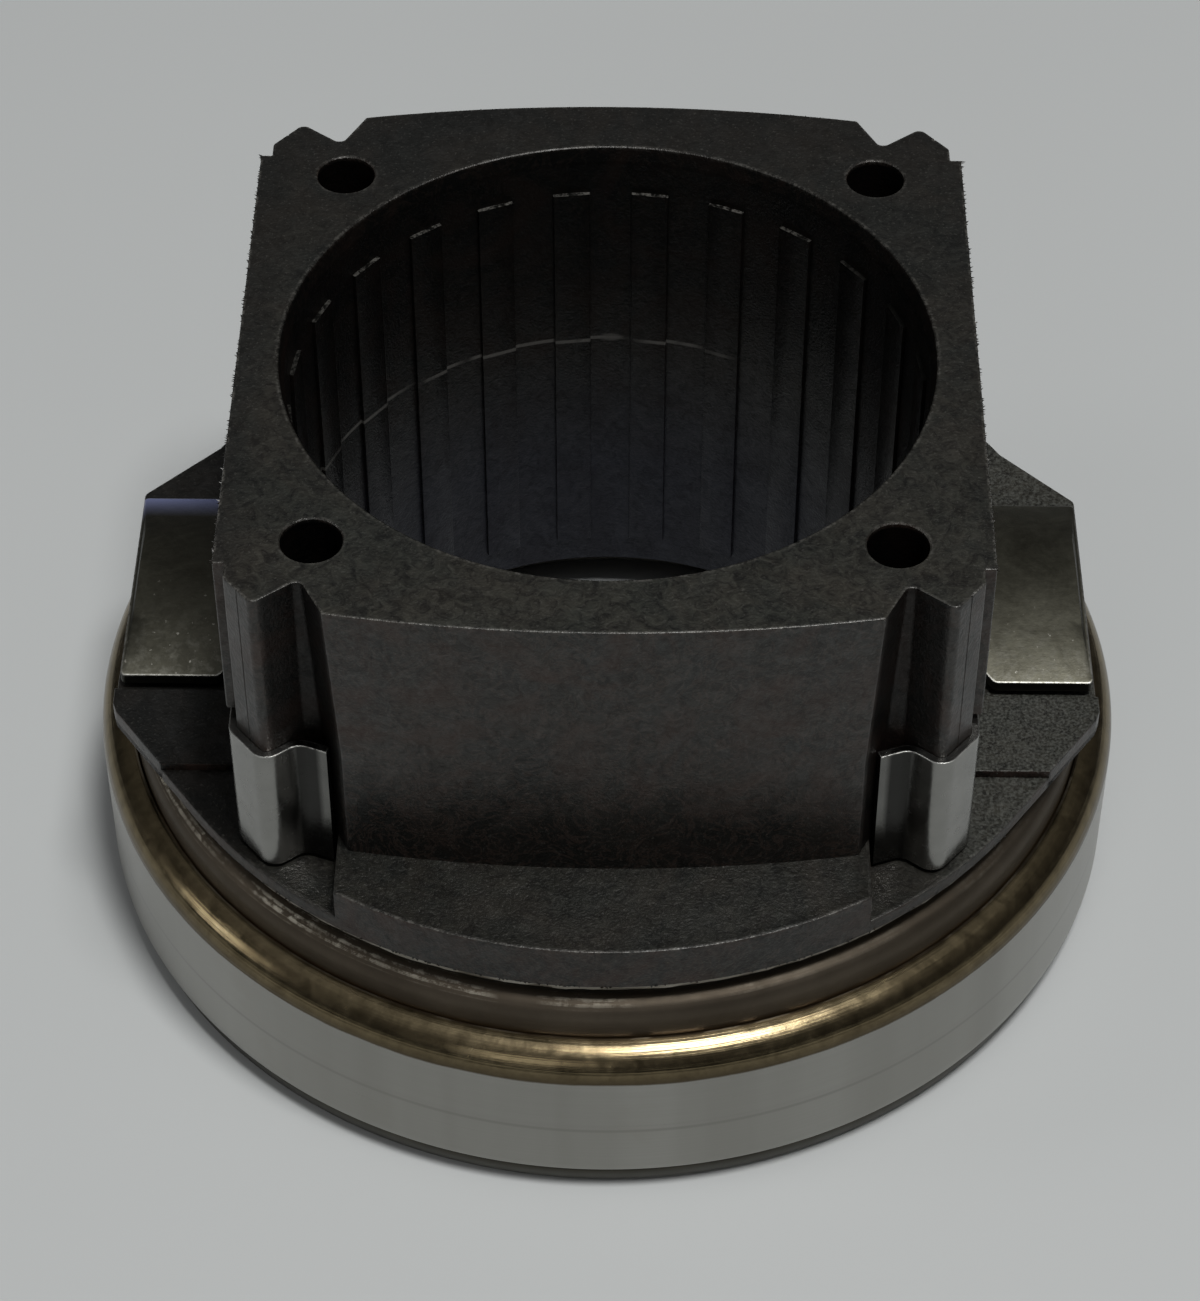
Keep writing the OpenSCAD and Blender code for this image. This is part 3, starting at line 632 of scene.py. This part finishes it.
# Painted reflection: a blue sheen low in the bore, which also tints its specular.
low_blue_sheen = plastic.times(in_bore, plastic.share(height, 36, 20))
broken = plastic.times(plastic.share(plastic.noise(130, 3), 0.42, 0.52), plastic.share(across, 17, 9))
parting = plastic.between(height, parting_z - 0.15, parting_z + 0.15, 0.12)
parting = plastic.times(parting, in_bore, broken)
flattened = plastic.node("CombineXYZ", {0: across, 1: along, 2: plastic.times(height, gate_flat)}).outputs[0]
gate_spot = (0, bore_r - 0.1, gate_z * gate_flat)
off_gate = plastic.node("VectorMath", {0: flattened, 1: gate_spot}, operation="DISTANCE")
gate = plastic.share(off_gate.outputs["Value"], gate_r, gate_r - 0.5)
parting = plastic.either(parting, plastic.times(gate, 0.6))
# This colour carries painted shade in the holes, grooves and bore, and painted light on the rib ends, low in
# the bore and on the right wing.
colour = plastic.coats(
    plastic.mix(stain, (0.0041, 0.0043, 0.0039), (0.0077, 0.0068, 0.0057)),
    (swirl, (0.030, 0.0205, 0.0165)),
    (rust, (0.029, 0.0178, 0.0140)),
    (dust_and_sheen, dust_and_sheen_colour),
    (fibre_and_sparkle, (0.062, 0.060, 0.053)),
    (glint, (0.066, 0.068, 0.060)),
    (edge, (0.10, 0.096, 0.086)),
    (plastic.times(hollow_shade, 0.9), (0.001, 0.001, 0.001)),
    (plastic.times(in_bore, 0.8), (0.0016, 0.0017, 0.0016)),
    (rib_end_highlight, (0.075, 0.072, 0.065)),
    (plastic.times(low_blue_sheen, 0.6), (0.0072, 0.0078, 0.0115)),
    (plastic.times(parting, 0.75), (0.10, 0.096, 0.088)),
)

# The moulded skin is glossy in mottled patches, and dull in the bore, at the foot of walls, and in holes and
# grooves as painted shade.
smoked = plastic.either(plastic.share(height, 34, 46), plastic.share(aside, 17, 27))
on_rim = plastic.share(out, 46.2, 46.8)
step = plastic.between(along, -pocket_y - 0.2, -pocket_y + 0.2, 0.1)
step = plastic.times(step, plastic.share(height, 31, 30))
# Painted shadow: the left wing's top beside the block loses gloss where the block's shadow falls.
by_block = plastic.times(plastic.between(across, -39, -34.5, 3), up, plastic.share(height, 30.5, 29.5))
gloss = plastic.scaled(plastic.share(mottle, 0.3, 0.7), 0.3, 0.74)
for share, factor in (
    (in_bore, 0.52), (plastic.times(smoked, in_bore), 0.55), (foot, 0.32), (rust, 0.75), (hollow_shade, 0.15),
    (on_rim, 0.75), (step, 0.4), (by_block, 0.35),
):
    gloss = plastic.dimmed(gloss, share, factor)
tint = plastic.mix(stain, (1.0, 1.0, 0.965), (1.0, 0.955, 0.90))
plastic.dress(
    Base_Color=colour,
    Roughness=plastic.scaled(plastic.noise(260, 3, 0.65), 0.24, 0.46),
    Specular_IOR_Level=gloss,
    Specular_Tint=plastic.mix(low_blue_sheen, tint, (0.80, 0.83, 1.0)),
    Normal=plastic.bump(mottle, 0.22, 0.16, plastic.bump(grain, 0.5, 0.11)),
)


def bow_y(x):
    """How far the bowed front or rear face stands from the axis."""
    return sqrt(bow_r**2 - x * x) - bow_r + half_d


rib_foot, rib_tip = Vector((side_x, half_d - 6.6)), Vector((side_x - 2.75, half_d - 3.3))
seam = [rib_foot.lerp(rib_tip, t) for t in (0.46, 0.475, 0.485, 0.50)]
seam_in = Vector((-0.09, -0.07))
groove_c, groove_w = Vector((side_x - 6.25, half_d - 6.0)), 0.75
hook_room = 0.9


def block(room=0.0):
    """Corners of the block's plan: panel, seamed corner rib, hook groove with some room, bowed face."""
    edge_x = face_x - room
    quarter = [
        (half_w, 0.0), (half_w, panel_y, 0.2), (side_x, panel_y, 0.15), (*rib_foot, 0.6), tuple(seam[0]),
        tuple(seam[1] + seam_in), tuple(seam[2] + seam_in), tuple(seam[3]), (*rib_tip, 0.8),
        (*groove_c, 0.6), (groove_c.x - groove_w - room, groove_c.y, 0.6), (edge_x, bow_y(edge_x), 0.3),
    ]
    return all_round(quarter + [(x, bow_y(x)) for x in (22.0, 18.0, 14.0, 10.0, 6.0, 3.0, 0.0)])


def held_in(outline, reach):
    """The outline with its side panels cut back to a reach in X."""
    return [(max(-reach, min(reach, x)), y) for x, y in outline]


sleeve = Shell()
wide = plan(block(hook_room))
walls = [
    sleeve.loop(held_in(wide, side_x), block_foot), sleeve.loop(held_in(wide, side_x), panel_z),
    sleeve.loop(held_in(wide, half_w - 0.15), panel_z), sleeve.loop(wide, panel_z + 0.15),
]
walls += [
    sleeve.loop(plan(block(), d), top_z - drop, w)
    for d, drop, w in ((0, 0.45, 0), (0, 0.14, 0.4), (0.03, 0.04, 1), (0.1, 0, 1), (0.3, 0, 0))
]
sleeve.wall(*walls)
mouth = [
    sleeve.loop(circle(bore_r + d, 192), top_z - drop, w)
    for d, drop, w in (
        (lead_w + 0.4, 0, 0), (lead_w + 0.08, 0, 0.9), (lead_w - 0.04, 0.08, 0.9), (lead_w - 0.12, 0.4, 0),
        (0.05, lead_h - 0.1, 0), (0, lead_h + 0.1, 0), (0, lead_h + 0.5, 0), (0, top_z - hub_foot, 0),
    )
]
mouth += [sleeve.loop(circle(core_r, 192), z) for z in (hub_foot, block_foot)]
sleeve.wall(*mouth)
sleeve.lid(walls[0], [mouth[-1]])
hole_rims = []
for sx in (-1, 1):
    for sy in (-1, 1):
        rings = [
            sleeve.loop(circle(hole_r + d, 40, sx * hole_at, sy * hole_at), top_z - drop, w)
            for d, drop, w in ((0.4, 0, 0), (0.12, 0, 0.5), (0, 0.12, 0.5), (0, 0.5, 0), (0, hole_depth, 0))
        ]
        sleeve.wall(*rings)
        sleeve.lid(rings[-1])
        hole_rims.append(rings[0])
sleeve.lid(walls[-1], [mouth[0], *hole_rims])

slant_a = atan2(wing_front, wing_x) + acos(flange_r / hypot(wing_x, wing_front))
slant = Vector((flange_r * cos(slant_a), flange_r * sin(slant_a)))
cut_a = pi / 4 - acos((wing_x + wing_rear) / (sqrt(2) * flange_r))


def slant_x(y):
    """Reach of the slanted front edge of a wing at a distance in front of the axis."""
    return slant.x + (slant.y - y) / (slant.y - wing_front) * (wing_x - slant.x)


wing_tip = [(slant_x(wing_front + tip_cut), -wing_front - tip_cut), (wing_x, tip_cut - wing_front)]
rim = [
    *rim_arc(flange_r, -pi / 2, -slant_a, 40), *wing_tip,
    (wing_x, wing_rear, 0.8), *rim_arc(flange_r, cut_a, pi / 2, 40),
]
flange_hole = circle(bore_r + 1.5, 96)
sleeve.prism(rim[:-1] + at_corner(rim, -1, 1)[:-1], flange_z, recess_z, 0.15, 0.3, flange_hole)
skin_r = flange_r + 0.02
strip_x, strip_y, pad_x0, step_y = face_x + 0.2, 32.5, side_x + 1.9, 12.2
pocket_x, pocket_end = 33.0, 31.0
strip_a = acos(strip_x / skin_r)
pocket = [
    (pocket_x, pocket_y), (slant_x(pocket_y), pocket_y),
    *rim_arc(skin_r, slant_a, strip_a, 10), (strip_x, pocket_end),
]
rear_pocket = [
    (pocket_x, pocket_y), (pad_x0, pocket_y),
    *rim_arc(skin_r, acos(pad_x0 / skin_r), strip_a, 8), (strip_x, pocket_end),
]
wing_step = [
    (pad_x0, -pocket_y), (slant_x(pocket_y), -pocket_y), *wing_tip, (wing_x, -step_y), (pad_x0, -step_y),
]
channel = [(pocket_x, -pocket_y), (pad_x0, -pocket_y), (pad_x0, pocket_y), (pocket_x, pocket_y)]
strip = [(-strip_x, strip_y), (strip_x, strip_y), *rim_arc(skin_r, strip_a, pi - strip_a, 48)]
for sx in (-1, 1):
    sleeve.prism(at_corner(pocket, sx, -1), flange_z, pocket_z, 0.15, 0.2)
    sleeve.prism(at_corner(rear_pocket, sx, 1), flange_z, pocket_z, 0.15, 0.2)
    sleeve.prism(at_corner(wing_step, sx, 1), flange_z, wing_z, 0.12, 0.0)
    sleeve.prism(at_corner(channel, sx, 1), sunk_z, pocket_z, 0.1, 0.0)
    sleeve.prism(at_corner(strip, sx, sx), flange_z, strip_z, 0.14, 0.9)
snap_foot, snap_top, snap_depth, hub_bevel = web_z - 1.2, web_z + 0.1, 1.2, 0.6
hub_rings = [
    sleeve.loop(circle(r, 128), z)
    for r, z in (
        (core_r, hub_foot), (hub_r - hub_bevel, hub_foot), (hub_r, hub_foot + hub_bevel),
        (hub_r, snap_foot), (hub_r - snap_depth, snap_foot), (hub_r - snap_depth, snap_top),
        (hub_r, snap_top), (hub_r, sunk_z), (core_r, sunk_z),
    )
]
sleeve.wall(*hub_rings, hub_rings[0])

pad_y, pad_z, crown_r, pad_t, seat_half = 1.85, wing_z + 2.5, 41.0, 1.1, 9.5


def crown(y, r=crown_r):
    """Height of the pad's crowned top, or of a curve below it, at a place along Y."""
    return pad_z - crown_r + sqrt(r * r - (y - pad_y) ** 2)


for sx in (-1, 1):
    arches = []
    for x in (pad_x0 + 0.3, wing_x - 1.0):
        ys = [pad_y - seat_half + 2 * seat_half * k / 16 for k in range(17)]
        arch = [(sx * x, y, crown(y, crown_r - pad_t) - 0.02) for y in ys]
        arch += [(sx * x, pad_y + side * seat_half, sunk_z) for side in (1, -1)]
        first = len(sleeve.points)
        sleeve.points += arch
        sleeve.wear += [0.0] * len(arch)
        arches.append(list(range(first, len(sleeve.points))))
    sleeve.wall(*arches)
    sleeve.faces += [tuple(arch) for arch in arches]
guide_sleeve = sleeve.piece("sleeve_moulding", plastic.material, "sleeve", "sleeve_plastic")
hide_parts("guide_sleeve")

# Guide ribs of the same moulding: raised lands round the bore that run on the gearbox's guide tube.
# Each stops short of both ends of the bore, so its upper end shows as a short ledge.
# Sizes inside a Geometry Nodes tree are in metres.


class Grower:
    """A Geometry Nodes tree in the making, with named inputs for its sizes."""

    def __init__(self, name, **inputs):
        self.tree = bpy.data.node_groups.new(name, "GeometryNodeTree")
        self.values, self.labels = {}, {}
        kinds = {int: "NodeSocketInt", float: "NodeSocketFloat", bpy.types.Material: "NodeSocketMaterial"}
        self.tree.interface.new_socket("Geometry", in_out="INPUT", socket_type="NodeSocketGeometry")
        for label, value in inputs.items():
            made = self.tree.interface.new_socket(label, in_out="INPUT", socket_type=kinds[type(value)])
            self.values[made.identifier] = value
            self.labels[label] = made.identifier
        self.tree.interface.new_socket("Geometry", in_out="OUTPUT", socket_type="NodeSocketGeometry")
        self.entry = self.tree.nodes.new("NodeGroupInput").outputs

    def node(self, kind, inputs=(), **settings):
        made = self.tree.nodes.new(kind)
        for label, value in settings.items():
            setattr(made, label, value)
        for socket, value in dict(inputs).items():
            if isinstance(value, bpy.types.NodeSocket):
                self.tree.links.new(value, made.inputs[socket])
            else:
                made.inputs[socket].default_value = value
        return made.outputs

    def math(self, operation, a, b):
        return self.node("ShaderNodeMath", {0: a, 1: b}, operation=operation)[0]

    def upright(self, height):
        return self.node("ShaderNodeCombineXYZ", {"Z": height})[0]

    def finish(self, instances):
        """End the tree in real geometry with the material that came in."""
        real = self.node("GeometryNodeRealizeInstances", {"Geometry": instances})[0]
        dressed = {"Geometry": real, "Material": self.entry["material"]}
        leave = self.tree.nodes.new("NodeGroupOutput")
        self.tree.links.new(self.node("GeometryNodeSetMaterial", dressed)[0], leave.inputs["Geometry"])

    def grow(self, name, body, slot, source=None, **sizes):
        """The plain mesh that the tree makes, with some sizes changed, as a piece riding on a body."""
        piece = bpy.data.objects.new(name, source or bpy.data.meshes.new(name))
        bpy.context.scene.collection.objects.link(piece)
        modifier = piece.modifiers.new(name, "NODES")
        modifier.node_group = self.tree
        changed = {self.labels[label]: value for label, value in sizes.items()}
        for identifier, value in {**self.values, **changed}.items():
            modifier[identifier] = value
        grown = piece.evaluated_get(bpy.context.evaluated_depsgraph_get())
        mesh = bpy.data.meshes.new_from_object(grown)
        piece.modifiers.clear()
        piece.data = mesh
        mesh.shade_smooth()
        mesh.set_sharp_from_angle(angle=radians(35))
        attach(piece, body)
        return piece


rib_foot_z, rib_head_z = hub_foot + 3.3, top_z - 5.3
ribs = Grower(
    "guide_ribs", ribs=24, land_radius=land_r * mm, rib_width=0.0037, rib_depth=0.0009, edge_radius=0.0001,
    foot=rib_foot_z * mm, head=rib_head_z * mm, material=plastic.material,
)
into_wall = ribs.math("MULTIPLY", ribs.entry["rib_depth"], 0.5)
middle = ribs.math("ADD", ribs.entry["land_radius"], into_wall)
posts = ribs.node("GeometryNodeMeshCircle", {"Vertices": ribs.entry["ribs"], "Radius": middle})[0]
half_step = ribs.upright(ribs.math("DIVIDE", pi, ribs.entry["ribs"]))
posts = ribs.node("GeometryNodeTransform", {"Geometry": posts, "Rotation": half_step})[0]
section = ribs.node(
    "GeometryNodeCurvePrimitiveQuadrilateral",
    {"Width": ribs.entry["rib_width"], "Height": ribs.entry["rib_depth"]},
)[0]
section = ribs.node(
    "GeometryNodeFilletCurve",
    {"Curve": section, "Radius": ribs.entry["edge_radius"], "Count": 2},
    mode="POLY",
)[0]
spine = ribs.node(
    "GeometryNodeCurvePrimitiveLine",
    {"Start": ribs.upright(ribs.entry["foot"]), "End": ribs.upright(ribs.entry["head"])},
)[0]
bar = ribs.node("GeometryNodeCurveToMesh", {"Curve": spine, "Profile Curve": section, "Fill Caps": True})[0]
outwards = ribs.node("GeometryNodeInputPosition")[0]
facing = ribs.node("FunctionNodeAlignRotationToVector", {"Vector": outwards}, axis="Y", pivot_axis="Z")[0]
placed = {"Points": posts, "Instance": bar, "Rotation": facing}
ribs.finish(ribs.node("GeometryNodeInstanceOnPoints", placed)[0])
ribs.grow("guide_ribs", "sleeve", "sleeve_plastic")

# Mould flash: thin ragged slivers of plastic left where the mould closed, along the block's top edges and
# the flange's lower edge. The block's two long side edges carry most of it, with whiskers at some corners.
flash = Grower(
    "mould_flash", spacing=0.0003, sliver_length=0.0004, sliver_width=0.00013, share_left=0.75, seed=7,
    material=plastic.material,
)
edge = flash.node("GeometryNodeMeshToCurve", {"Mesh": flash.entry["Geometry"]})[0]
edge = flash.node(
    "GeometryNodeResampleCurve", {"Curve": edge, "Length": flash.entry["spacing"]}, mode="LENGTH"
)[0]
sliver_size = {"Radius Bottom": flash.entry["sliver_width"], "Depth": flash.entry["sliver_length"]}
sliver = flash.node("GeometryNodeMeshCone", {"Vertices": 4, "Radius Top": 0.0, **sliver_size})[0]
seed = flash.entry["seed"]
kept = flash.node(
    "FunctionNodeRandomValue", {"Probability": flash.entry["share_left"], "Seed": seed}, data_type="BOOLEAN"
)[3]
sway = flash.node(
    "FunctionNodeRandomValue", {0: (-0.7, -0.7, -0.5), 1: (0.7, 0.7, 0.6), "Seed": seed},
    data_type="FLOAT_VECTOR",
)[0]
outwards = flash.node("GeometryNodeInputNamedAttribute", {"Name": "outwards"}, data_type="FLOAT_VECTOR")[0]
lean = flash.node("ShaderNodeVectorMath", {0: outwards, 1: sway}, operation="ADD")[0]
facing = flash.node("FunctionNodeAlignRotationToVector", {"Vector": lean}, axis="Z")[0]
spread = flash.node(
    "FunctionNodeRandomValue", {0: (0.5, 0.6, 0.15), 1: (1.4, 1.6, 1.0), "Seed": seed},
    data_type="FLOAT_VECTOR",
)[0]
flash.finish(
    flash.node(
        "GeometryNodeInstanceOnPoints",
        {"Points": edge, "Selection": kept, "Instance": sliver, "Rotation": facing, "Scale": spread},
    )[0]
)


def edge_line(name, runs, z):
    """Edges at one height for flash to grow on: runs of plan points, each with its outward direction."""
    points, edges, ways = [], [], []
    for run, way in runs:
        edges += [(len(points) + k, len(points) + k + 1) for k in range(len(run) - 1)]
        points += [(x * mm, y * mm, z * mm) for x, y in run]
        ways += [way] * len(run)
    mesh = bpy.data.meshes.new(name)
    mesh.from_pydata(points, edges, [])
    layer = mesh.attributes.new("outwards", "FLOAT_VECTOR", "POINT")
    layer.data.foreach_set("vector", [v for way in ways for v in way])
    return mesh


inner_w, flash_z, rim_steps = half_w - 0.08, top_z - 0.12, 24
side_runs = [([(s * inner_w, -panel_y + 0.3), (s * inner_w, panel_y - 0.3)], (s, 0, 0)) for s in (-1, 1)]
face_runs = [([(x, s * (bow_y(x) - 0.1)) for x in range(-24, 25, 4)], (0, s, 0)) for s in (-1, 1)]
corner_runs = [
    ([(sx * inner_w, sy * (panel_y - 0.4)), (sx * inner_w, sy * (panel_y - 0.1))], (sx, sy * 0.3, 0.1))
    for sx in (-1, 1) for sy in (-1, 1)
]
rim_runs = []
for first, last in ((slant_a - pi, -slant_a), (cut_a, pi - cut_a)):
    for k in range(rim_steps):
        a, b = (first + (last - first) * t / rim_steps for t in (k, k + 1))
        rim_runs.append((rim_arc(flange_r - 0.1, a, b, 3), (0.5 * cos(a), 0.5 * sin(a), -1)))
face_sizes = {"sliver_length": 0.00014, "share_left": 0.5, "seed": 3}
whisker_sizes = {"sliver_length": 0.0009, "sliver_width": 0.00011, "share_left": 0.8, "seed": 11}
rim_sizes = {
    "spacing": 0.0004, "sliver_length": 0.00035, "sliver_width": 0.0002, "share_left": 0.5, "seed": 5,
}
for name, runs, z, sizes in (
    ("side_flash", side_runs, flash_z, {}), ("face_flash", face_runs, flash_z, face_sizes),
    ("corner_whiskers", corner_runs, flash_z, whisker_sizes),
    ("rim_flash", rim_runs, flange_z + 0.04, rim_sizes),
):
    flash.grow(name, "sleeve", "sleeve_plastic", edge_line(name + "_line", runs, z), **sizes)

# Fork saddles: two sheet-steel stampings on which the clutch fork bears. A strap along each side of the
# block hooks round two corner ribs, and a tab joins it to a crowned pad that rests on the wing.
strap_t, strap_z, strap_h, hook_gap = 0.8, pocket_z + 0.55, 14.7, 0.04
bend_r, lip_bend, lip_run = 1.3, 2.0, Vector((-2.95, 1.1))
pad_x1, pad_front, pad_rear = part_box("fork_saddle_right")[1].x / mm, 10.9, 14.6
tab_half, pad_cut_x, pad_cut_y = 5.0, 2.5, 3.2

stamped = Finish("stamped_saddle_steel", Metallic=1.0)
across, along, height = stamped.measures()
aside = stamped.math("ABSOLUTE", across)
on_pad = stamped.share(aside, pad_x0 - 0.4, pad_x0 + 0.4)
on_left = stamped.share(across, 1, -1)
rolled = stamped.noise(320, 5, 0.6)
oil = stamped.share(stamped.noise(130, 6, 0.7, 0.8), 0.3, 0.7)
film = stamped.mix(oil, (0.062, 0.059, 0.044), (0.150, 0.145, 0.112))
# Painted shade: the left pad's film is darker, for the block's shadow over it.
film = stamped.mix(stamped.times(on_left, 0.45), film, (0.02, 0.019, 0.015))
pits = stamped.share(stamped.noise(1500, 3, 0.6), 0.68, 0.73)
pits = stamped.times(pits, stamped.share(along, 2, -6), on_pad)
scuffs = stamped.share(stamped.noise(900, 6, 0.75), 0.48, 0.66)
scuffs = stamped.times(scuffs, stamped.share(along, -2, -10.5), on_pad)
# Painted reflection: the left pad's rear end is violet-blue and rougher, for something blue mirrored in it.
blue_reflection_end = stamped.times(on_pad, on_left, stamped.share(along, 10.8, 14.2))
# Painted shade: the pads' upright edge faces are near black.
pad_wall = stamped.times(on_pad, stamped.rest(stamped.upward()))
# Painted shade and reflection: the hook's valley and lower lip near black, and the whole lip darkened.
in_valley = stamped.between(aside, 26.4, 28.1, 1.1)
on_lip = stamped.share(aside, 28.5, 27.9)
low_lip = stamped.times(on_lip, stamped.share(height, 36, 31))
hook_shade = stamped.either(stamped.either(in_valley, low_lip), stamped.times(on_lip, 0.5))
sheared = stamped.share(stamped.noise(1300, 4, 0.7), 0.32, 0.6)
colour = stamped.coats(
    stamped.mix(rolled, (0.20, 0.199, 0.187), (0.32, 0.318, 0.30)),
    (on_pad, film),
    (pits, (0.34, 0.33, 0.29)),
    (scuffs, (0.135, 0.131, 0.108)),
    (stamped.times(blue_reflection_end, 0.85), (0.30, 0.335, 0.56)),
    (stamped.times(pad_wall, 0.8), (0.018, 0.018, 0.016)),
    (stamped.times(hook_shade, 0.92), (0.012, 0.012, 0.011)),
    (stamped.times(stamped.worn(), sheared, 0.85), (0.60, 0.595, 0.56)),
)
bright = stamped.scaled(stamped.noise(800, 4), 0.16, 0.34)
dull = stamped.scaled(stamped.noise(1500, 5, 0.7), 0.32, 0.56)
scratch_place = stamped.node("Mapping", {"Vector": stamped.at, "Scale": (260, 2600, 900)}).outputs[0]
scratch = stamped.noise(1.0, 3, 0.6, place=scratch_place)
pimples = stamped.bump(stamped.noise(1700, 3, 0.6), 0.35, 0.05)
stamped.dress(
    Base_Color=colour,
    Roughness=stamped.blend(blue_reflection_end, stamped.blend(on_pad, bright, dull), 0.7),
    Normal=stamped.bump(scratch, 0.15, 0.04, pimples),
)


def both_sides(path, bends, t):
    """Corners of a bent strip from its path and bend radii: out along one side, back along the other."""
    lines = ([], [])
    for i, (p, r) in enumerate(zip(path, bends)):
        before = p - path[i - 1] if i else path[1] - p
        after = path[i + 1] - p if i + 1 < len(path) else before
        na, nb = Vector((-before.y, before.x)).normalized(), Vector((-after.y, after.x)).normalized()
        offset = (na + nb) / (1 + na.dot(nb)) * (t / 2)
        left = before.x * after.y - before.y * after.x > 0
        end = i in (0, len(path) - 1)
        lines[0].append((*(p + offset), 0.0 if end else r - t / 2 if left else r + t / 2))
        lines[1].append((*(p - offset), 0.0 if end else r + t / 2 if left else r - t / 2))
    return lines[1] + lines[0][::-1]


to_foot, to_groove = (rib_foot - rib_tip).normalized(), (groove_c - rib_tip).normalized()
clear_of_tip = (strap_t / 2 + hook_gap) / sin(to_foot.angle(to_groove) / 2)
hook_tip = rib_tip - (to_foot + to_groove).normalized() * clear_of_tip
strap_x = side_x + strap_t / 2
hook_turn = Vector((strap_x, hook_tip.y + (strap_x - hook_tip.x) * to_foot.y / to_foot.x))
hook_valley = hook_tip + to_groove * ((groove_c - rib_tip).length - groove_w)
hook = [hook_turn, hook_tip, hook_valley, hook_valley + lip_run]
strap_path = [Vector((p.x, -p.y)) for p in reversed(hook)] + hook
strap = both_sides(strap_path, [0.0, lip_bend, bend_r, bend_r, bend_r, bend_r, lip_bend, 0.0], strap_t)
pad = [
    (strap_x, pad_y - tab_half), (pad_x0, pad_y - tab_half, 0.4), (pad_x0, -pad_front + pad_cut_y, 0.5),
    (pad_x0 + pad_cut_x, -pad_front, 0.9), (pad_x1, -pad_front, 0.5), (pad_x1, pad_rear, 0.5),
    (pad_x0, pad_rear, 0.5), (pad_x0, pad_y + tab_half, 0.6), (strap_x, pad_y + tab_half),
]
pad_w, pad_l, margin = pad_x1 - pad_x0, pad_rear + pad_front, 0.8
pad_grid = [
    (pad_x0 + margin + (pad_w - 2 * margin) * i / 6, -pad_front + margin + (pad_l - 2 * margin) * k / 22)
    for i in range(7) for k in range(23) if i > 1 or k > 4
]
for side, name in ((-1, "left"), (1, "right")):
    saddle = Shell()
    saddle.prism(at_corner(pad, side, 1), -pad_t, 0.0, 0.08, 0.5, inner=[(side * x, y) for x, y in pad_grid])
    saddle.points = [(x, y, z + crown(y)) for x, y, z in saddle.points]
    saddle.prism(at_corner(strap, side, 1), strap_z, strap_z + strap_h, 0.06, 1.0)
    piece = saddle.piece("saddle_" + name, stamped.material, "sleeve", "saddle_steel")
    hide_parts("fork_saddle_" + name)

# Stage: a plain pale painted floor under soft light, seen from the photograph's place.
# One lamp hangs above and to the front right, and two weak windows stand in front and to the left.
pale_paint = Finish("pale_floor", Roughness=0.9, Specular_IOR_Level=0.1)
drift = pale_paint.noise(5, 3)
pale_paint.dress(Base_Color=pale_paint.mix(drift, (0.455, 0.47, 0.465), (0.48, 0.49, 0.485)))
floor_mesh = bpy.data.meshes.new("floor")
floor_mesh.from_pydata([(-3, -3, 0), (3, -3, 0), (3, 3, 0), (-3, 3, 0)], [], [(0, 1, 2, 3)])
floor_mesh.materials.append(pale_paint.material)
floor = bpy.data.objects.new("floor", floor_mesh)
bpy.context.scene.collection.objects.link(floor)


def lamp(name, place, aim, size, watts):
    light = bpy.data.lights.new(name, "AREA")
    light.shape, light.size, light.energy = "DISK", size, watts
    holder = bpy.data.objects.new(name, light)
    holder.location = place
    holder.rotation_euler = (Vector(aim) - Vector(place)).to_track_quat("-Z", "Y").to_euler()
    bpy.context.scene.collection.objects.link(holder)


lamp("ceiling_lamp", (0.19, -0.25, 1.06), (0, 0, 0), 0.3, 9.5)
lamp("front_window", (-0.35, -1.25, 0.7), (0, 0, 0.03), 0.5, 1.0)
lamp("left_window", (-1.1, -0.15, 0.5), (0, 0, 0.03), 0.35, 1.2)
room = bpy.data.worlds.new("room")
bpy.context.scene.world = room
room.use_nodes = True
room_tree = room.node_tree
upwards = room_tree.nodes.new("ShaderNodeSeparateXYZ")
room_tree.links.new(room_tree.nodes.new("ShaderNodeTexCoord").outputs["Generated"], upwards.inputs[0])
fade = room_tree.nodes.new("ShaderNodeValToRGB")
dark_end, light_end = fade.color_ramp.elements
dark_end.position, dark_end.color = 0.15, (0.04, 0.04, 0.042, 1)
light_end.position, light_end.color = 1.0, (0.38, 0.385, 0.40, 1)
fade.color_ramp.elements.new(0.72).color = (0.10, 0.10, 0.10, 1)
room_tree.links.new(upwards.outputs["Z"], fade.inputs[0])
room_tree.links.new(fade.outputs["Color"], room_tree.nodes["Background"].inputs["Color"])

lens = bpy.data.cameras.new("photo_view")
lens.lens, lens.sensor_width, lens.clip_start, lens.clip_end = 103.79, 36, 0.01, 20
camera = bpy.data.objects.new("photo_view", lens)
camera.location = (0.00254, -0.26795, 0.29313)
camera_aim = Vector((-0.00073, 0, 0.02145))
camera.rotation_euler = (camera_aim - camera.location).to_track_quat("-Z", "Y").to_euler()
bpy.context.scene.collection.objects.link(camera)
bpy.context.scene.camera = camera
bpy.context.scene.view_settings.view_transform = "Standard"
